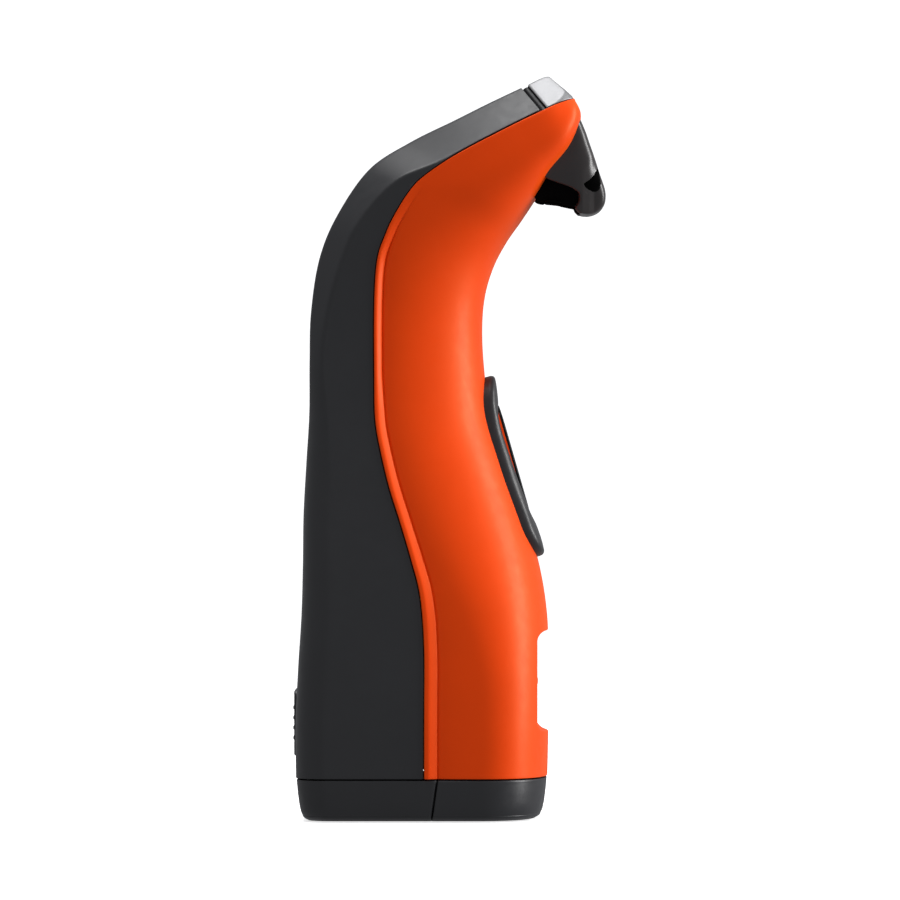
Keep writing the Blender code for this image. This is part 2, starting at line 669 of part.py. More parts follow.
def make_latch():
    half_y, half_z = (side / 2 for side in LATCH_SIZE)
    centre = LATCH_CENTRE_Z
    pad = block(
        "latch_button",
        (LATCH_FACE_X, -half_y, centre - half_z),
        (LATCH_BACK_X, half_y, centre + half_z),
        "charcoal_shell",
    )
    lip = LATCH_LIP
    unite(
        pad,
        block(
            "latch_lip",
            (LATCH_BACK_X - LATCH_LIP_THICK, -half_y - lip, centre - half_z - lip),
            (LATCH_BACK_X, half_y + lip, centre + half_z + lip),
        ),
    )
    stop = LATCH_BACK_X + LATCH_TRAVEL + LATCH_STOP_GAP
    low, high = (stop, -BRACKET_HALF_Y, 18.0), (stop + 1.0, BRACKET_HALF_Y, 40.0)
    bracket = block("latch_bracket", low, high, "inner_plastic")
    for side in (-1, 1):
        low, high = sorted((side * (BRACKET_HALF_Y - 1.1), side * BRACKET_HALF_Y))
        unite(bracket, block(f"bracket_leg_{side}", (-33.2, low, 20.0), (stop + 0.5, high, 38.0)))
    place = facing((0, 0, centre), (1, 0, 0))
    spring = coil_spring("latch_spring", 3.0, 0.25, LATCH_BACK_X + 0.5, stop - 0.5, 3, place)
    hang(moving_group("latch_axis", (LATCH_FACE_X, 0, centre)), pad)
    return bracket, spring


# ---------------------------------------------------------------- scan engine in the head


def make_window():
    place = facing(WINDOW_CENTRE, WINDOW_LOOK)
    half_x, half_y = (side / 2 - GAP for side in WINDOW_OPENING)
    low, high = -WINDOW_DEPTH - 1.8, -WINDOW_DEPTH + 0.2
    gasket = block("window_gasket", (-half_x, -half_y, low), (half_x, half_y, high), "foot_rubber", place)
    bar = 1.2
    inner = (half_x - bar, half_y - bar)
    subtract(gasket, block("gasket_hole", (-inner[0], -inner[1], -9), (*inner, 4), place=place))
    pane = (inner[0] - GAP, inner[1] - GAP)
    low, high = -WINDOW_DEPTH - 1.4, -WINDOW_DEPTH - 0.2
    glass = block("scan_window", (-pane[0], -pane[1], low), (*pane, high), "glass", place)
    return gasket, glass


def make_scan_engine():
    """A projector between two cameras, on one frame and one board."""
    optics = facing(OPTICS_FRONT, OPTICS_LOOK)
    back = -BARREL_LENGTH - MODULE_LENGTH
    frame = block("engine_frame", (-4.0, -12.4, -3.6), (4.0, 12.4, -2.2), "inner_plastic", optics)
    modules = (
        ("projector", 0.0, 3.8, 2.9),
        ("camera_left", -CAMERA_Y, 3.4, 2.5),
        ("camera_right", CAMERA_Y, 3.4, 2.5),
    )
    for name, y, half, radius in modules:
        place = optics @ Matrix.Translation((0, y, 0))
        low, high = (-half, -half, back), (half, half, -BARREL_LENGTH)
        body = block(name, low, high, "inner_plastic", place)
        unite(body, rod(f"{name}_barrel", radius, -BARREL_LENGTH - 1, 0, place=place))
        subtract(body, rod(f"{name}_bore", radius - 0.6, -1.6, 1, place=place))
        rod(f"{name}_lens", radius - 0.9, -1.3, -0.4, "glass", place)
        subtract(frame, rod(f"{name}_hole", radius + GAP, -5, 0, place=place))
    low, high = (-4.3, -12.0, back - 1.3), (4.3, 12.0, back - GAP)
    board = block("optics_board", low, high, "circuit_board", optics)
    return frame, board


# ---------------------------------------------------------------- inner frame and electronics


def strip_outline(line, thickness):
    """A band of even thickness along an open line in XZ."""
    points = [Vector(p) for p in line]
    left, right = [], []
    for i, point in enumerate(points):
        before = (point - points[i - 1]).normalized() if i else Vector((0, 0))
        after = (points[i + 1] - point).normalized() if i < len(points) - 1 else Vector((0, 0))
        along = (before + after).normalized()
        normal = Vector((-along.y, along.x)) * thickness / 2
        left.append(tuple(point + normal))
        right.append(tuple(point - normal))
    return left + right[::-1]


def make_inner_frame():
    outline = strip_outline(CHASSIS_LINE, CHASSIS_THICK)
    chassis = extrusion("chassis", outline, -CHASSIS_HALF, CHASSIS_HALF, "inner_plastic")
    low, high = (BOARD_X[0], -CHASSIS_HALF, BOARD_Z[0]), (BOARD_X[1], CHASSIS_HALF, BOARD_Z[1])
    board = block("main_board", low, high, "circuit_board")
    return chassis, board


def make_electronics():
    block("battery_connector", (-21.0, -7.0, 75.0), (-1.6, 7.0, 81.0), "inner_plastic")
    cable = [tuple(smooth(CABLE_LINE, i / 2)) for i in range(2 * len(CABLE_LINE) - 1)]
    extrusion("ribbon_cable", strip_outline(cable, 0.5), -5.0, 5.0, "copper_flex")
    rod("beeper", 6.0, -5.2, -1.5, "inner_plastic", along_x(0, 0, 122.0), sides=20)
    motor = facing((-5.2, 0, 98.0), (0, 0, 1)) @ Matrix.Rotation(math.pi / 2, 4, "X")
    rod("vibration_motor", 3.4, -6.0, 6.0, "steel", motor)
    block("radio_antenna", (-29.6, -8.0, 118.0), (-28.8, 8.0, 146.0), "copper_flex")
    slope = facing((27.0, 0, 212.6), (-math.sin(math.radians(27)), 0, math.cos(math.radians(27))))
    block("indicator_board", (-3.5, -11.0, -0.5), (3.5, 11.0, 0.5), "circuit_board", slope)


def make_dock_contacts():
    low = (31.4, -CONTACT_HALF_Y, CONTACT_Z - CONTACT_HALF_Z)
    high = (34.8, CONTACT_HALF_Y, CONTACT_Z + CONTACT_HALF_Z)
    holder = block("dock_contact_block", low, high, "black_gloss")
    for i in range(PIN_COUNT):
        place = along_x(0, (i - (PIN_COUNT - 1) / 2) * PIN_PITCH, CONTACT_Z)
        subtract(holder, rod(f"pin_hole_{i + 1}", PIN_RADIUS + GAP, 30, 36, place=place, sides=12))
        rod(f"dock_pin_{i + 1}", PIN_RADIUS, 30.4, 35.3, "gold_contact", place, sides=12)


def make_shell_screws():
    for i, place, _ in screw_places():
        profile = [(2.0, -6.9), (2.2, -6.6), (2.2, -5.3), (1.1, -5.3), (1.1, 8.6), (0.5, 9.2)]
        turned(f"shell_screw_{i}", profile, "steel", place)


def clear_scene():
    for obj in list(bpy.data.objects):
        bpy.data.objects.remove(obj, do_unlink=True)


def build():
    clear_scene()
    void = make_void()
    make_front_shell(void)
    make_rear_shell(void)
    make_head_end(void)
    make_hood()
    make_trigger()
    make_window()
    make_scan_engine()
    make_latch()
    make_inner_frame()
    make_electronics()
    make_dock_contacts()
    make_shell_screws()
    pack = moving_group("battery_axis", (CELL_X, 0, 0))
    hang(pack, *make_base(), *make_battery())


build()
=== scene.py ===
"""The looks of the handheld scanner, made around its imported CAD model.

Sizes and places are in millimetres, in the CAD's frame: origin at the middle of the foot's
underside, +Z up, +X the aiming side, XZ the plane of symmetry. MM turns them into metres where a
mesh is made. The housing is the same loft as in the CAD, with more points along it.
"""

import json
import math

import bmesh
import bpy
import numpy as np
from mathutils import Matrix, Vector
from mathutils.bvhtree import BVHTree


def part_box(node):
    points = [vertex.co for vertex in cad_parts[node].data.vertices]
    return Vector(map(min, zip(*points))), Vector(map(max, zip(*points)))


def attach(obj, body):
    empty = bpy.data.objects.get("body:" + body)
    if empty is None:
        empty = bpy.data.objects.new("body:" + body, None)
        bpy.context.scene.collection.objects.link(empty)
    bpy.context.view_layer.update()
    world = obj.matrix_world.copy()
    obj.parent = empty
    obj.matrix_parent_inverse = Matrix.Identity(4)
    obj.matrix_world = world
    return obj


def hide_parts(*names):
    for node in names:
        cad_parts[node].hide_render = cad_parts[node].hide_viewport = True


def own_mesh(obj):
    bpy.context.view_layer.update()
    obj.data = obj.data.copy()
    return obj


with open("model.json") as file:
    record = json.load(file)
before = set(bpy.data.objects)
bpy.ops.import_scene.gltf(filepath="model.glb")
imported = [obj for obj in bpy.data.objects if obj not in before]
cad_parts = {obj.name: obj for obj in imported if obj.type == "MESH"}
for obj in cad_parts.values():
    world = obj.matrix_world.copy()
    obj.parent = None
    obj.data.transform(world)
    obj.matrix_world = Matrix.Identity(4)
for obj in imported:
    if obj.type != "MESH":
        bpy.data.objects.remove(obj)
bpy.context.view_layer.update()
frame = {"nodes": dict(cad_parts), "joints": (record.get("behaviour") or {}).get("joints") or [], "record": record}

MM = 0.001
GAP = 0.3
WALL = 2.2

# ---- the housing's loft

SECTIONS = np.array([
    # back x, back z, front x, front z, half width, corner depth, corner roundness, squareness, flat side
    (-36.7, 12.8, 38.2, 12.8, 28.5, 9, 1, 2.3, 0.7),
    (-36.8, 28, 38.5, 28, 28.5, 9, 1, 2.3, 0.7),
    (-36.1, 45, 38.5, 45, 28, 9, 1, 2.3, 0.68),
    (-35.1, 61, 38.1, 61, 27.2, 9, 1, 2.3, 0.6),
    (-34.7, 76, 35.7, 76, 26.2, 8.5, 1, 2.3, 0.5),
    (-34.5, 91, 31.3, 90.5, 25, 8, 1, 2.3, 0.4),
    (-33.7, 106, 25.9, 106, 23.8, 7, 0.8, 2.3, 0.31),
    (-32.8, 121, 21.2, 120, 22.8, 5, 0.5, 2.3, 0.26),
    (-32.7, 136, 19.2, 135, 22.2, 3.6, 0.2, 2.3, 0.25),
    (-32.3, 151, 18.7, 147, 22, 4.8, 0, 2.3, 0.25),
    (-29.8, 167, 19.6, 156.5, 22.2, 6.5, 0, 2.3, 0.25),
    (-24.4, 180, 22.2, 165, 22.6, 6.8, 0, 2.3, 0.25),
    (-15, 193.5, 26, 172.2, 23, 8.6, 0, 2.4, 0.25),
    (-2.9, 201.6, 30.6, 178.8, 23.2, 10.8, 0, 2.6, 0.25),
    (10.3, 208.1, 35.3, 186, 23, 10, 0, 3, 0.25),
    (21.3, 213.6, 39.2, 192.6, 22.4, 9.6, 0, 3.6, 0.25),
    (31.6, 218.5, 44.6, 199.8, 21.4, 9.4, 0, 4.2, 0.25),
    (36, 220.7, 47.5, 206.2, 19.5, 8.6, 0, 4.5, 0.25),
    (38.3, 221.3, 48, 210.6, 17.5, 7, 0, 4.5, 0.25),
    (39.3, 220.5, 46.1, 214.4, 16, 5, 0, 4, 0.25),
])
NOSE = len(SECTIONS) - 1

# Parting line of the two shells, in the XZ plane, foot to nose.
SEAM = np.array([
    (1.3, 0), (1.3, 29), (1.3, 50.7), (0.1, 66.5), (-2.6, 77.4), (-5.8, 88.2),
    (-9.1, 98.7), (-11.7, 109.5), (-13.3, 118.9), (-13.6, 130.8), (-13.6, 153.6),
    (-12.7, 166.4), (-10.3, 173.8), (-7.6, 179.6), (-2.9, 187.1), (1.9, 191.8),
    (11.4, 198), (25.6, 205.5), (37.4, 211.3), (42.4, 213.4), (46.6, 214.5), (55.6, 215.8),
])
REAR_END = ((30.1, 218.0), (35.7, 210.7))
CAP_START = ((32.0, 219.0), (37.6, 211.7))

ROWS_PER_SECTION = 20
OUTLINE_POINTS = 421
CREASE_SOFTNESS = 0.45  # how far a crease of the housing is rounded off
CROWN = 0.5  # bulge of the nose's end face


def smooth(rows, places):
    """The Catmull-Rom curve through rows, where each place counts rows from 0."""
    places = np.atleast_1d(places)
    last = len(rows) - 1
    i = np.clip(places.astype(int), 0, last - 1)
    u = (places - i)[:, None]
    a, b, c, d = (rows[np.clip(i + k, 0, last)] for k in (-1, 0, 1, 2))
    cubic = 3 * b - a - 3 * c + d
    return 0.5 * (2 * b + (c - a) * u + (2 * a - 5 * b + 4 * c - d) * u**2 + cubic * u**3)


def curve(rows, count):
    """The smooth curve through rows, as count points."""
    return smooth(rows, np.linspace(0, len(rows) - 1, count))


def along(points):
    """The length along a line up to each of its points."""
    steps = np.linalg.norm(np.diff(points, axis=0), axis=1)
    return np.concatenate([[0.0], np.cumsum(steps)])


def at_lengths(points, wanted):
    """The points of a line at the wanted lengths along it."""
    lengths = along(points)
    return np.stack([np.interp(wanted, lengths, column) for column in points.T], axis=1)


def even(points, count):
    """The same line, with its points evenly spaced."""
    return at_lengths(points, np.linspace(0, along(points)[-1], count))


def softened(line, radius):
    """The line with its creases rounded off. It crosses the plane of symmetry at both ends."""
    spacing = along(line)[-1] / (len(line) - 1)
    reach = int(3 * radius / spacing) + 1
    offsets = np.arange(-reach, reach + 1) * spacing
    weights = np.exp(-0.5 * (offsets / radius) ** 2)
    weights /= weights.sum()
    mirror = np.array([1.0, -1.0])
    padded = np.concatenate([line[reach:0:-1] * mirror, line, line[-2 : -reach - 2 : -1] * mirror])
    return np.stack([np.convolve(column, weights, "valid") for column in padded.T], axis=1)


def superellipse(square, steps):
    """A quarter of a superellipse with unit half axes, from its end on the second axis."""
    angle = np.linspace(0, math.pi / 2, steps)
    reach = (np.sin(angle) ** square + np.cos(angle) ** square) ** (-1 / square)
    return reach * np.sin(angle), reach * np.cos(angle)


def arc(steps):
    """Pairs (sine, 1 - cosine) over a quarter turn, from zero up."""
    angle = np.linspace(0, math.pi / 2, steps + 1)
    return list(zip(np.sin(angle), 1 - np.cos(angle)))


def half_outline(depth, half, corner, roundness, square, side):
    """One side of a cross-section, back to front: distance from the back line and half width."""
    share = np.linspace(0, 1, 30)
    angle = share * math.pi / 2
    s = roundness * (1 - np.cos(angle)) + (1 - roundness) * share
    y = roundness * np.sin(angle) + (1 - roundness) * share
    back = np.c_[corner * s, half - corner + corner * y]
    widest = corner + side * (depth - corner)
    ahead, aside = superellipse(square, 160)
    front = np.c_[widest + (depth - widest) * ahead, half * aside]
    line = even(np.concatenate([[(0.0, 0.0)], back, front]), OUTLINE_POINTS)
    return softened(line, CREASE_SOFTNESS)


def section_line(row, inset=0.0):
    """The near side of a section of the housing, moved in by inset, as points back to front."""
    back_x, back_z, front_x, front_z, half, corner, roundness, square, side = row
    back = np.array([back_x, 0.0, back_z])
    across = np.array([front_x, 0.0, front_z]) - back
    depth = np.linalg.norm(across)
    corner = max(corner - (2 - math.sqrt(2)) * inset, 0.6)
    line = half_outline(depth - 2 * inset, half - inset, corner, roundness, square, side)
    points = back + (across / depth) * (inset + line[:, :1])
    points[:, 1] = -line[:, 1]
    return points


def unit(vectors):
    """The same directions, each of length 1."""
    return vectors / np.maximum(np.linalg.norm(vectors, axis=-1, keepdims=True), 1e-12)


def make_table(inset):
    """Points of the housing's near side, moved in by inset, foot to nose and back to front.
    Past the last section they close the nose with a crowned end face."""
    places = np.arange(NOSE * ROWS_PER_SECTION + 1) / ROWS_PER_SECTION
    rows = [section_line(row, inset) for row in smooth(SECTIONS, places)]
    end = rows[-1]
    middle = (end[0] + end[-1]) / 2
    facing_out = unit(np.array([end[0, 2] - end[-1, 2], 0.0, end[-1, 0] - end[0, 0]]))
    for step in range(1, ROWS_PER_SECTION + 1):
        shrink = 1 - 0.97 * step / ROWS_PER_SECTION
        rows.append(middle + (end - middle) * shrink + facing_out * CROWN * (1 - shrink**2))
    return np.array(rows)


def table_normals(points):
    """Outward normals at each point of a table, level at the plane of symmetry."""
    normals = np.cross(np.gradient(points, axis=1), np.gradient(points, axis=0))
    normals[:, (0, -1), 1] = 0.0
    return unit(normals)


POINTS = make_table(0.0)
INNER = make_table(WALL)
NORMALS = table_normals(POINTS)
ROWS = np.arange(len(POINTS)) / ROWS_PER_SECTION
SHARES = np.linspace(0, 1, OUTLINE_POINTS)
LENGTHS = np.array([along(line)[-1] for line in POINTS])  # of the outline, at each row
HEAD = 13 * ROWS_PER_SECTION  # the row where the neck has become the head


def sample(table, u, t):
    """The table's value at row u and share t of the outline, both arrays of one shape."""
    row = np.clip(u, 0, ROWS[-1]) * ROWS_PER_SECTION
    column = np.clip(t, 0, 1) * (OUTLINE_POINTS - 1)
    i = np.minimum(row.astype(int), len(table) - 2)
    j = np.minimum(column.astype(int), OUTLINE_POINTS - 2)
    a, b = (row - i)[..., None], (column - j)[..., None]
    low = table[i, j] * (1 - b) + table[i, j + 1] * b
    high = table[i + 1, j] * (1 - b) + table[i + 1, j + 1] * b
    return low * (1 - a) + high * a


def seam_distance(points):
    """How far points are in front of the parting line, in the XZ plane."""
    line = curve(SEAM, 8 * len(SEAM))
    start, step = line[:-1], np.diff(line, axis=0)
    flat = points[..., (0, 2)].reshape(-1, 2)
    distances = np.empty(len(flat))
    for low in range(0, len(flat), 4000):
        offset = flat[low : low + 4000, None] - start
        share = np.clip((offset * step).sum(-1) / (step**2).sum(-1), 0, 1)
        away = offset - share[..., None] * step
        size = np.linalg.norm(away, axis=-1)
        nearest = size.argmin(axis=1)
        pick = np.arange(len(nearest)), nearest
        side = offset[pick][:, 0] * step[nearest, 1] - offset[pick][:, 1] * step[nearest, 0]
        distances[low : low + 4000] = np.sign(side) * size[pick]
    return distances.reshape(points.shape[:-1])


def plane_distance(points, edge):
    """How far points are in front of a slanted plane through two points in XZ, top point first."""
    (top_x, top_z), (low_x, low_z) = edge
    length = math.hypot(top_x - low_x, top_z - low_z)
    normal = ((top_z - low_z) / length, (low_x - top_x) / length)
    return (points[..., 0] - top_x) * normal[0] + (points[..., 2] - top_z) * normal[1]


SEAM_TABLE = seam_distance(POINTS)


def seam_share(u, level):
    """The share of the outline at which each row u is level in front of the parting line."""
    crossings = [np.interp(level, row, SHARES) for row in SEAM_TABLE]
    return np.interp(u, ROWS, crossings)


def plane_row(t, edge, offset):
    """The row at which the housing is offset in front of a slanted plane, at share t."""
    ahead = plane_distance(POINTS[HEAD:], edge)
    crossings = [np.interp(offset, column, ROWS[HEAD:]) for column in ahead.T]
    return np.interp(t, SHARES, crossings)


def surface(u, t):
    """Points of the housing and their outward normals, level at the plane of symmetry."""
    base, normal = sample(POINTS, u, t), unit(sample(NORMALS, u, t))
    normal[:, -1, 1] = 0
    return base, normal


def rounding(distance, radius):
    """How far a face drops at a distance from its edge, where the edge is rounded by radius."""
    near = np.clip(distance, 0, radius)
    return radius - np.sqrt(np.maximum(radius**2 - (radius - near) ** 2, 0))


def mirrored(grid):
    """A near-side grid whose last column is on the plane of symmetry, with its far side added."""
    return np.concatenate([grid, (grid * (1, -1, 1))[:, -2::-1]], axis=1)


# ---- meshes


def place_object(name, data):
    """A new object in the scene."""
    obj = bpy.data.objects.new(name, data)
    bpy.context.scene.collection.objects.link(obj)
    return obj


def shade_mesh(mesh, sharp):
    """Shades a mesh smooth, apart from edges that turn by more than sharp degrees."""
    mesh.shade_smooth()
    mesh.set_sharp_from_angle(angle=math.radians(sharp))


def add_object(name, points, faces, sharp=40.0):
    """A closed mesh, given in millimetres, as a smooth-shaded object in metres."""
    mesh = bpy.data.meshes.new(name)
    mesh.from_pydata((np.asarray(points) * MM).tolist(), [], [list(map(int, f)) for f in faces])
    shape = bmesh.new()
    shape.from_mesh(mesh)
    bmesh.ops.remove_doubles(shape, verts=shape.verts, dist=2e-6)
    bmesh.ops.dissolve_degenerate(shape, edges=shape.edges, dist=1e-6)
    bmesh.ops.recalc_face_normals(shape, faces=shape.faces)
    shape.to_mesh(mesh)
    shape.free()
    shade_mesh(mesh, sharp)
    return place_object(name, mesh)


def grid_faces(rows, columns, first=0):
    """The quads of a grid whose points are numbered row by row from first."""
    i, j = np.meshgrid(np.arange(rows - 1), np.arange(columns - 1), indexing="ij")
    corner = (first + i * columns + j).ravel()
    return np.stack([corner, corner + 1, corner + columns + 1, corner + columns], axis=1)


def ring_faces(ids):
    """The quads between closed rings of points, whose numbers are the rows of ids."""
    here, beyond = ids[:-1], ids[1:]
    quads = [here, np.roll(here, -1, 1), np.roll(beyond, -1, 1), beyond]
    return np.stack(quads, axis=-1).reshape(-1, 4)


def end_faces(rows, columns):
    """The flat faces over a grid's first and last row."""
    return [list(range(columns)), list(range((rows - 1) * columns, rows * columns))]


def sheet_solid(name, outer, inner, radius, sharp=40.0):
    """A closed wall between two matching grids, whose outer edge is rounded by radius."""
    rows, columns = outer.shape[:2]
    ids = np.arange(rows * columns).reshape(rows, columns)
    border = np.concatenate([ids[0, :-1], ids[:-1, -1], ids[-1, :0:-1], ids[:0:-1, 0]])
    top, low = outer.reshape(-1, 3), inner.reshape(-1, 3)
    edge, under = top[border], low[border]
    normal = unit(edge - under)
    tangent = np.roll(edge, -1, axis=0) - np.roll(edge, 1, axis=0)
    outward = unit(np.cross(tangent, normal))
    inside = outer[rows // 2, 1] - outer[rows // 2, 0]
    start = list(border).index(columns * (rows // 2))
    if outward[start] @ inside > 0:
        outward = -outward
    loops = [edge + radius * (outward * ahead - normal * drop) for ahead, drop in arc(4)[1:]]
    loops.append(under + outward * radius)
    size, around = len(top), len(border)
    faces = [grid_faces(rows, columns), grid_faces(rows, columns, size)[:, ::-1]]
    between = [2 * size + k * around + np.arange(around) for k in range(len(loops))]
    faces.append(ring_faces(np.array([border, *between, size + border])))
    return add_object(name, np.concatenate([top, low, *loops]), np.concatenate(faces), sharp)


def floored_solid(name, grid, flat=False):
    """A solid under an arched grid. Its ends are flat, and its two long sides are joined by one
    flat face or by a strip that follows them."""
    rows, columns = grid.shape[:2]
    faces = grid_faces(rows, columns).tolist()
    left = np.arange(rows) * columns
    right = left + columns - 1
    if flat:
        faces.append([*left, *right[::-1]])
    else:
        faces += np.stack([left[:-1], left[1:], right[1:], right[:-1]], axis=1).tolist()
    return add_object(name, grid.reshape(-1, 3), faces + end_faces(rows, columns))


def ring_solid(name, rings, place=None, sharp=40.0, hoop=False):
    """A solid through closed rings of points, flat at both ends, or a hoop that closes on itself."""
    rings = np.asarray([*rings, rings[0]] if hoop else rings, float)
    count, points = rings.shape[:2]
    faces = ring_faces(np.arange(count * points).reshape(count, points)).tolist()
    if not hoop:
        faces += end_faces(count, points)
    flat = rings.reshape(-1, 3)
    if place is not None:
        turn = np.array(place)
        flat = flat @ turn[:3, :3].T + turn[:3, 3]
    return add_object(name, flat, faces, sharp)


def layered(name, outline, layers, place=None):
    """A solid through outline(inset) at each (inset, height) of layers, in a place's own axes."""
    rings = [np.c_[outline(inset), np.full(len(outline(inset)), height)] for inset, height in layers]
    return ring_solid(name, rings, place)


def round_rings(profile, sides=40):
    """Rings from (radius, height) pairs, round a place's own Z."""
    angle = np.linspace(0, 2 * math.pi, sides + 1)[:-1]
    circle = np.c_[np.cos(angle), np.sin(angle)]
    return [np.c_[radius * circle, np.full(sides, height)] for radius, height in profile]


def rounded_box(length, width, radius):
    """An outline function: a rectangle with round corners, moved in by an inset."""

    def outline(inset):
        r = max(radius - inset, 0.05)
        angle = (np.arange(4)[:, None] + np.linspace(0, 1, 10)).ravel() * math.pi / 2
        sides = np.repeat([(1, 1), (-1, 1), (-1, -1), (1, -1)], 10, axis=0)
        centre = (length / 2 - inset - r, width / 2 - inset - r)
        return sides * centre + r * np.c_[np.cos(angle), np.sin(angle)]

    return outline


def edge_layers(thickness, radius):
    """Layers of a plate whose outer face, at height 0, has a rounded edge."""
    return [(0, -thickness)] + [(radius * drop, radius * (ahead - 1)) for ahead, drop in arc(4)]


def facing(origin, look):
    """A place whose Z points along look, in the XZ plane, and whose Y is the object's."""
    z = Vector(look).normalized()
    y = Vector((0, 1, 0))
    x = y.cross(z)
    place = Matrix((x, y, z)).transposed().to_4x4()
    place.translation = Vector(origin)
    return place


def join(name, *objects):
    """One object that holds the separate solids of several."""
    shape = bmesh.new()
    for obj in objects:
        shape.from_mesh(obj.data)
        bpy.data.objects.remove(obj)
    mesh = bpy.data.meshes.new(name)
    shape.to_mesh(mesh)
    shape.free()
    return place_object(name, mesh)


def carve(obj, *cutters, sharp=40.0):
    """Cuts away the cutters, which don't touch each other."""
    tool = join("cutter", *cutters)
    modifier = obj.modifiers.new("carve", "BOOLEAN")
    modifier.operation = "DIFFERENCE"
    modifier.object = tool
    modifier.solver = "EXACT"
    graph = bpy.context.evaluated_depsgraph_get()
    mesh = bpy.data.meshes.new_from_object(obj.evaluated_get(graph))
    obj.modifiers.clear()
    obj.data = mesh
    bpy.data.objects.remove(tool)
    shade_mesh(mesh, sharp)
    return obj


# ---- shells

EDGE = 0.2  # rounding of the shells' edges
FOOT_SEAM = 12.8
RECESS = (26.1, 56.2)
RECESS_FLOOR_X = 35.0
RECESS_ROUND = 3.2
LIP_TOP = 188.0  # the lip and its groove have faded out at this height
LIP_FADE = 22.0
CREST = 0.45  # height of the lip along the parting line
VALLEY = 0.9  # depth of the groove beside it
CREASE = 0.42  # depth of the fine line at the groove's bottom
BAR_GAP = 0.05  # the light bar is glued in, with next to no gap
CONTACTS = facing((RECESS_FLOOR_X, 0, 41), (1, 0, 0))
CONTACT_HOLE = (8.6, 14.6, 1.2)  # length, width and corner radius
WINDOW = facing((42.5, 0, 197.0), (0.82, 0, -0.57))
WINDOW_HOLE = (11.0, 26.0, 1.5)
LATCH_Z = 28.6
LATCH_SIDE = 19.6
LATCH_ROUND = 2.0
LATCH_GAP = 0.4
SCREW_COUNT = 4
SCREW_SEAT = 1.9  # from the end of a shell screw's head to its seat
SCREW_BORE = 2.6
PILOT = 1.45
WELL_RADIUS = 3.7
WELL_FLOOR = 3.8
NEAR_EDGE = [0.0, 0.05, 0.12, 0.2, 0.32]  # columns of the cap beside its edge
FITTING_STEPS = 8  # rounds in which a grid's rows and columns settle between two slanted edges


def lip_relief(distance, z):
    """Height of the lip and its groove, at a distance in front of the parting line."""
    groove = np.interp(z, [60, 86, 122, 132], [4.0, 3.4, 3.2, 2.6])
    share = np.clip((distance / groove - 0.33) / 0.67, 0, 1)
    flank = CREST - (CREST + VALLEY) * share**1.15
    beyond = -VALLEY * np.exp(-np.maximum(distance - groove, 0) / 4.5)
    crease = CREASE * np.exp(-(((distance - groove - 0.15) / 0.22) ** 2))
    height = np.where(distance < groove, flank, beyond) - crease
    return height * np.clip((LIP_TOP - z) / LIP_FADE, 0, 1)


def recess_x(z):
    """The front face of the flat cut across the front, at each height."""
    low, high = RECESS
    near = np.minimum(z - low, high - z)
    rise = np.clip(1 - near / RECESS_ROUND, 0, 1)
    x = RECESS_FLOOR_X + RECESS_ROUND * (1 - np.sqrt(1 - rise**2))
    return np.where(near < 0, 1000.0, x)


def soft_minimum(a, b):
    """The lower of a and b, with the crease between them rounded off."""
    blend = 0.12
    return np.minimum(a, b) - blend * np.log1p(np.exp(-np.minimum(np.abs(a - b) / blend, 50)))


def front_rows():
    """The rows of the front shell, close together at the recess and at the nose's tip."""
    low, high = RECESS
    coarse, fine = 0.7, 0.25
    stops = [FOOT_SEAM + EDGE, low - 1.2, low + 5, high - 5, high + 1.2]
    stretches = zip(stops, stops[1:], (coarse, fine, coarse, fine))
    heights = [np.arange(*stretch) for stretch in stretches] + [(low, low + 0.02, high - 0.02, high)]
    lower = np.sort(np.interp(np.concatenate(heights), POINTS[:, -1, 2], ROWS))
    front_line = along(POINTS[:, -1])
    start, end = np.interp((lower[-1], 18.2), ROWS, front_line)
    middle = np.interp(np.arange(start + coarse, end, coarse), front_line, ROWS)
    last_rows = np.linspace(middle[-1], NOSE, 400)[1:]
    shares = seam_share(last_rows, GAP / 2 + EDGE)
    wanted = np.linspace(shares[0], 0.985, 24)
    tip = np.interp(wanted, np.maximum.accumulate(shares), last_rows)
    return np.unique(np.round(np.concatenate([lower, middle, tip]), 5))


def make_front_shell():
    """The orange half, with its lip, the flat recess and the holes for what sits in it."""
    rows = front_rows()
    start = seam_share(rows, GAP / 2 + EDGE)
    length = np.interp(rows, ROWS, LENGTHS)
    stretches = ((0, 2.4, 0.3), (2.4, 5.2, 0.1), (5.2, 8.1, 0.35))
    close = np.concatenate([np.arange(*stretch) for stretch in stretches])
    far = np.linspace(0, 1, 52)[1:]
    room = length * (1 - start)
    scale = np.minimum(1, 0.5 * room / close[-1])
    near_part = close * scale[:, None]
    far_part = near_part[:, -1:] + (room - near_part[:, -1])[:, None] * far
    t = start[:, None] + np.concatenate([near_part, far_part], axis=1) / length[:, None]
    u = np.repeat(rows[:, None], t.shape[1], axis=1)
    base, normal = surface(u, t)
    relief = lip_relief(seam_distance(base), base[..., 2])
    outer = base + normal * relief[..., None]
    inner = sample(INNER, u, t)
    limit = recess_x(base[..., 2])
    outer[..., 0] = soft_minimum(outer[..., 0], limit)
    inner[..., 0] = np.minimum(inner[..., 0], limit - WALL)
    shell = sheet_solid("orange_front_shell", mirrored(outer), mirrored(inner), EDGE, 50)
    bezel_line = bezel_outline(GAP / 2)
    bezel_hole = layered("bezel_hole", lambda _: bezel_line, [(0, -14), (0, 12)], TRIGGER)
    contact_hole = layered("contact_hole", rounded_box(*CONTACT_HOLE), [(0, -6), (0, 6)], CONTACTS)
    window_hole = layered("window_hole", rounded_box(*WINDOW_HOLE), [(0, -6.5), (0, 5.5)], WINDOW)
    return carve(shell, bezel_hole, contact_hole, window_hole, sharp=50)


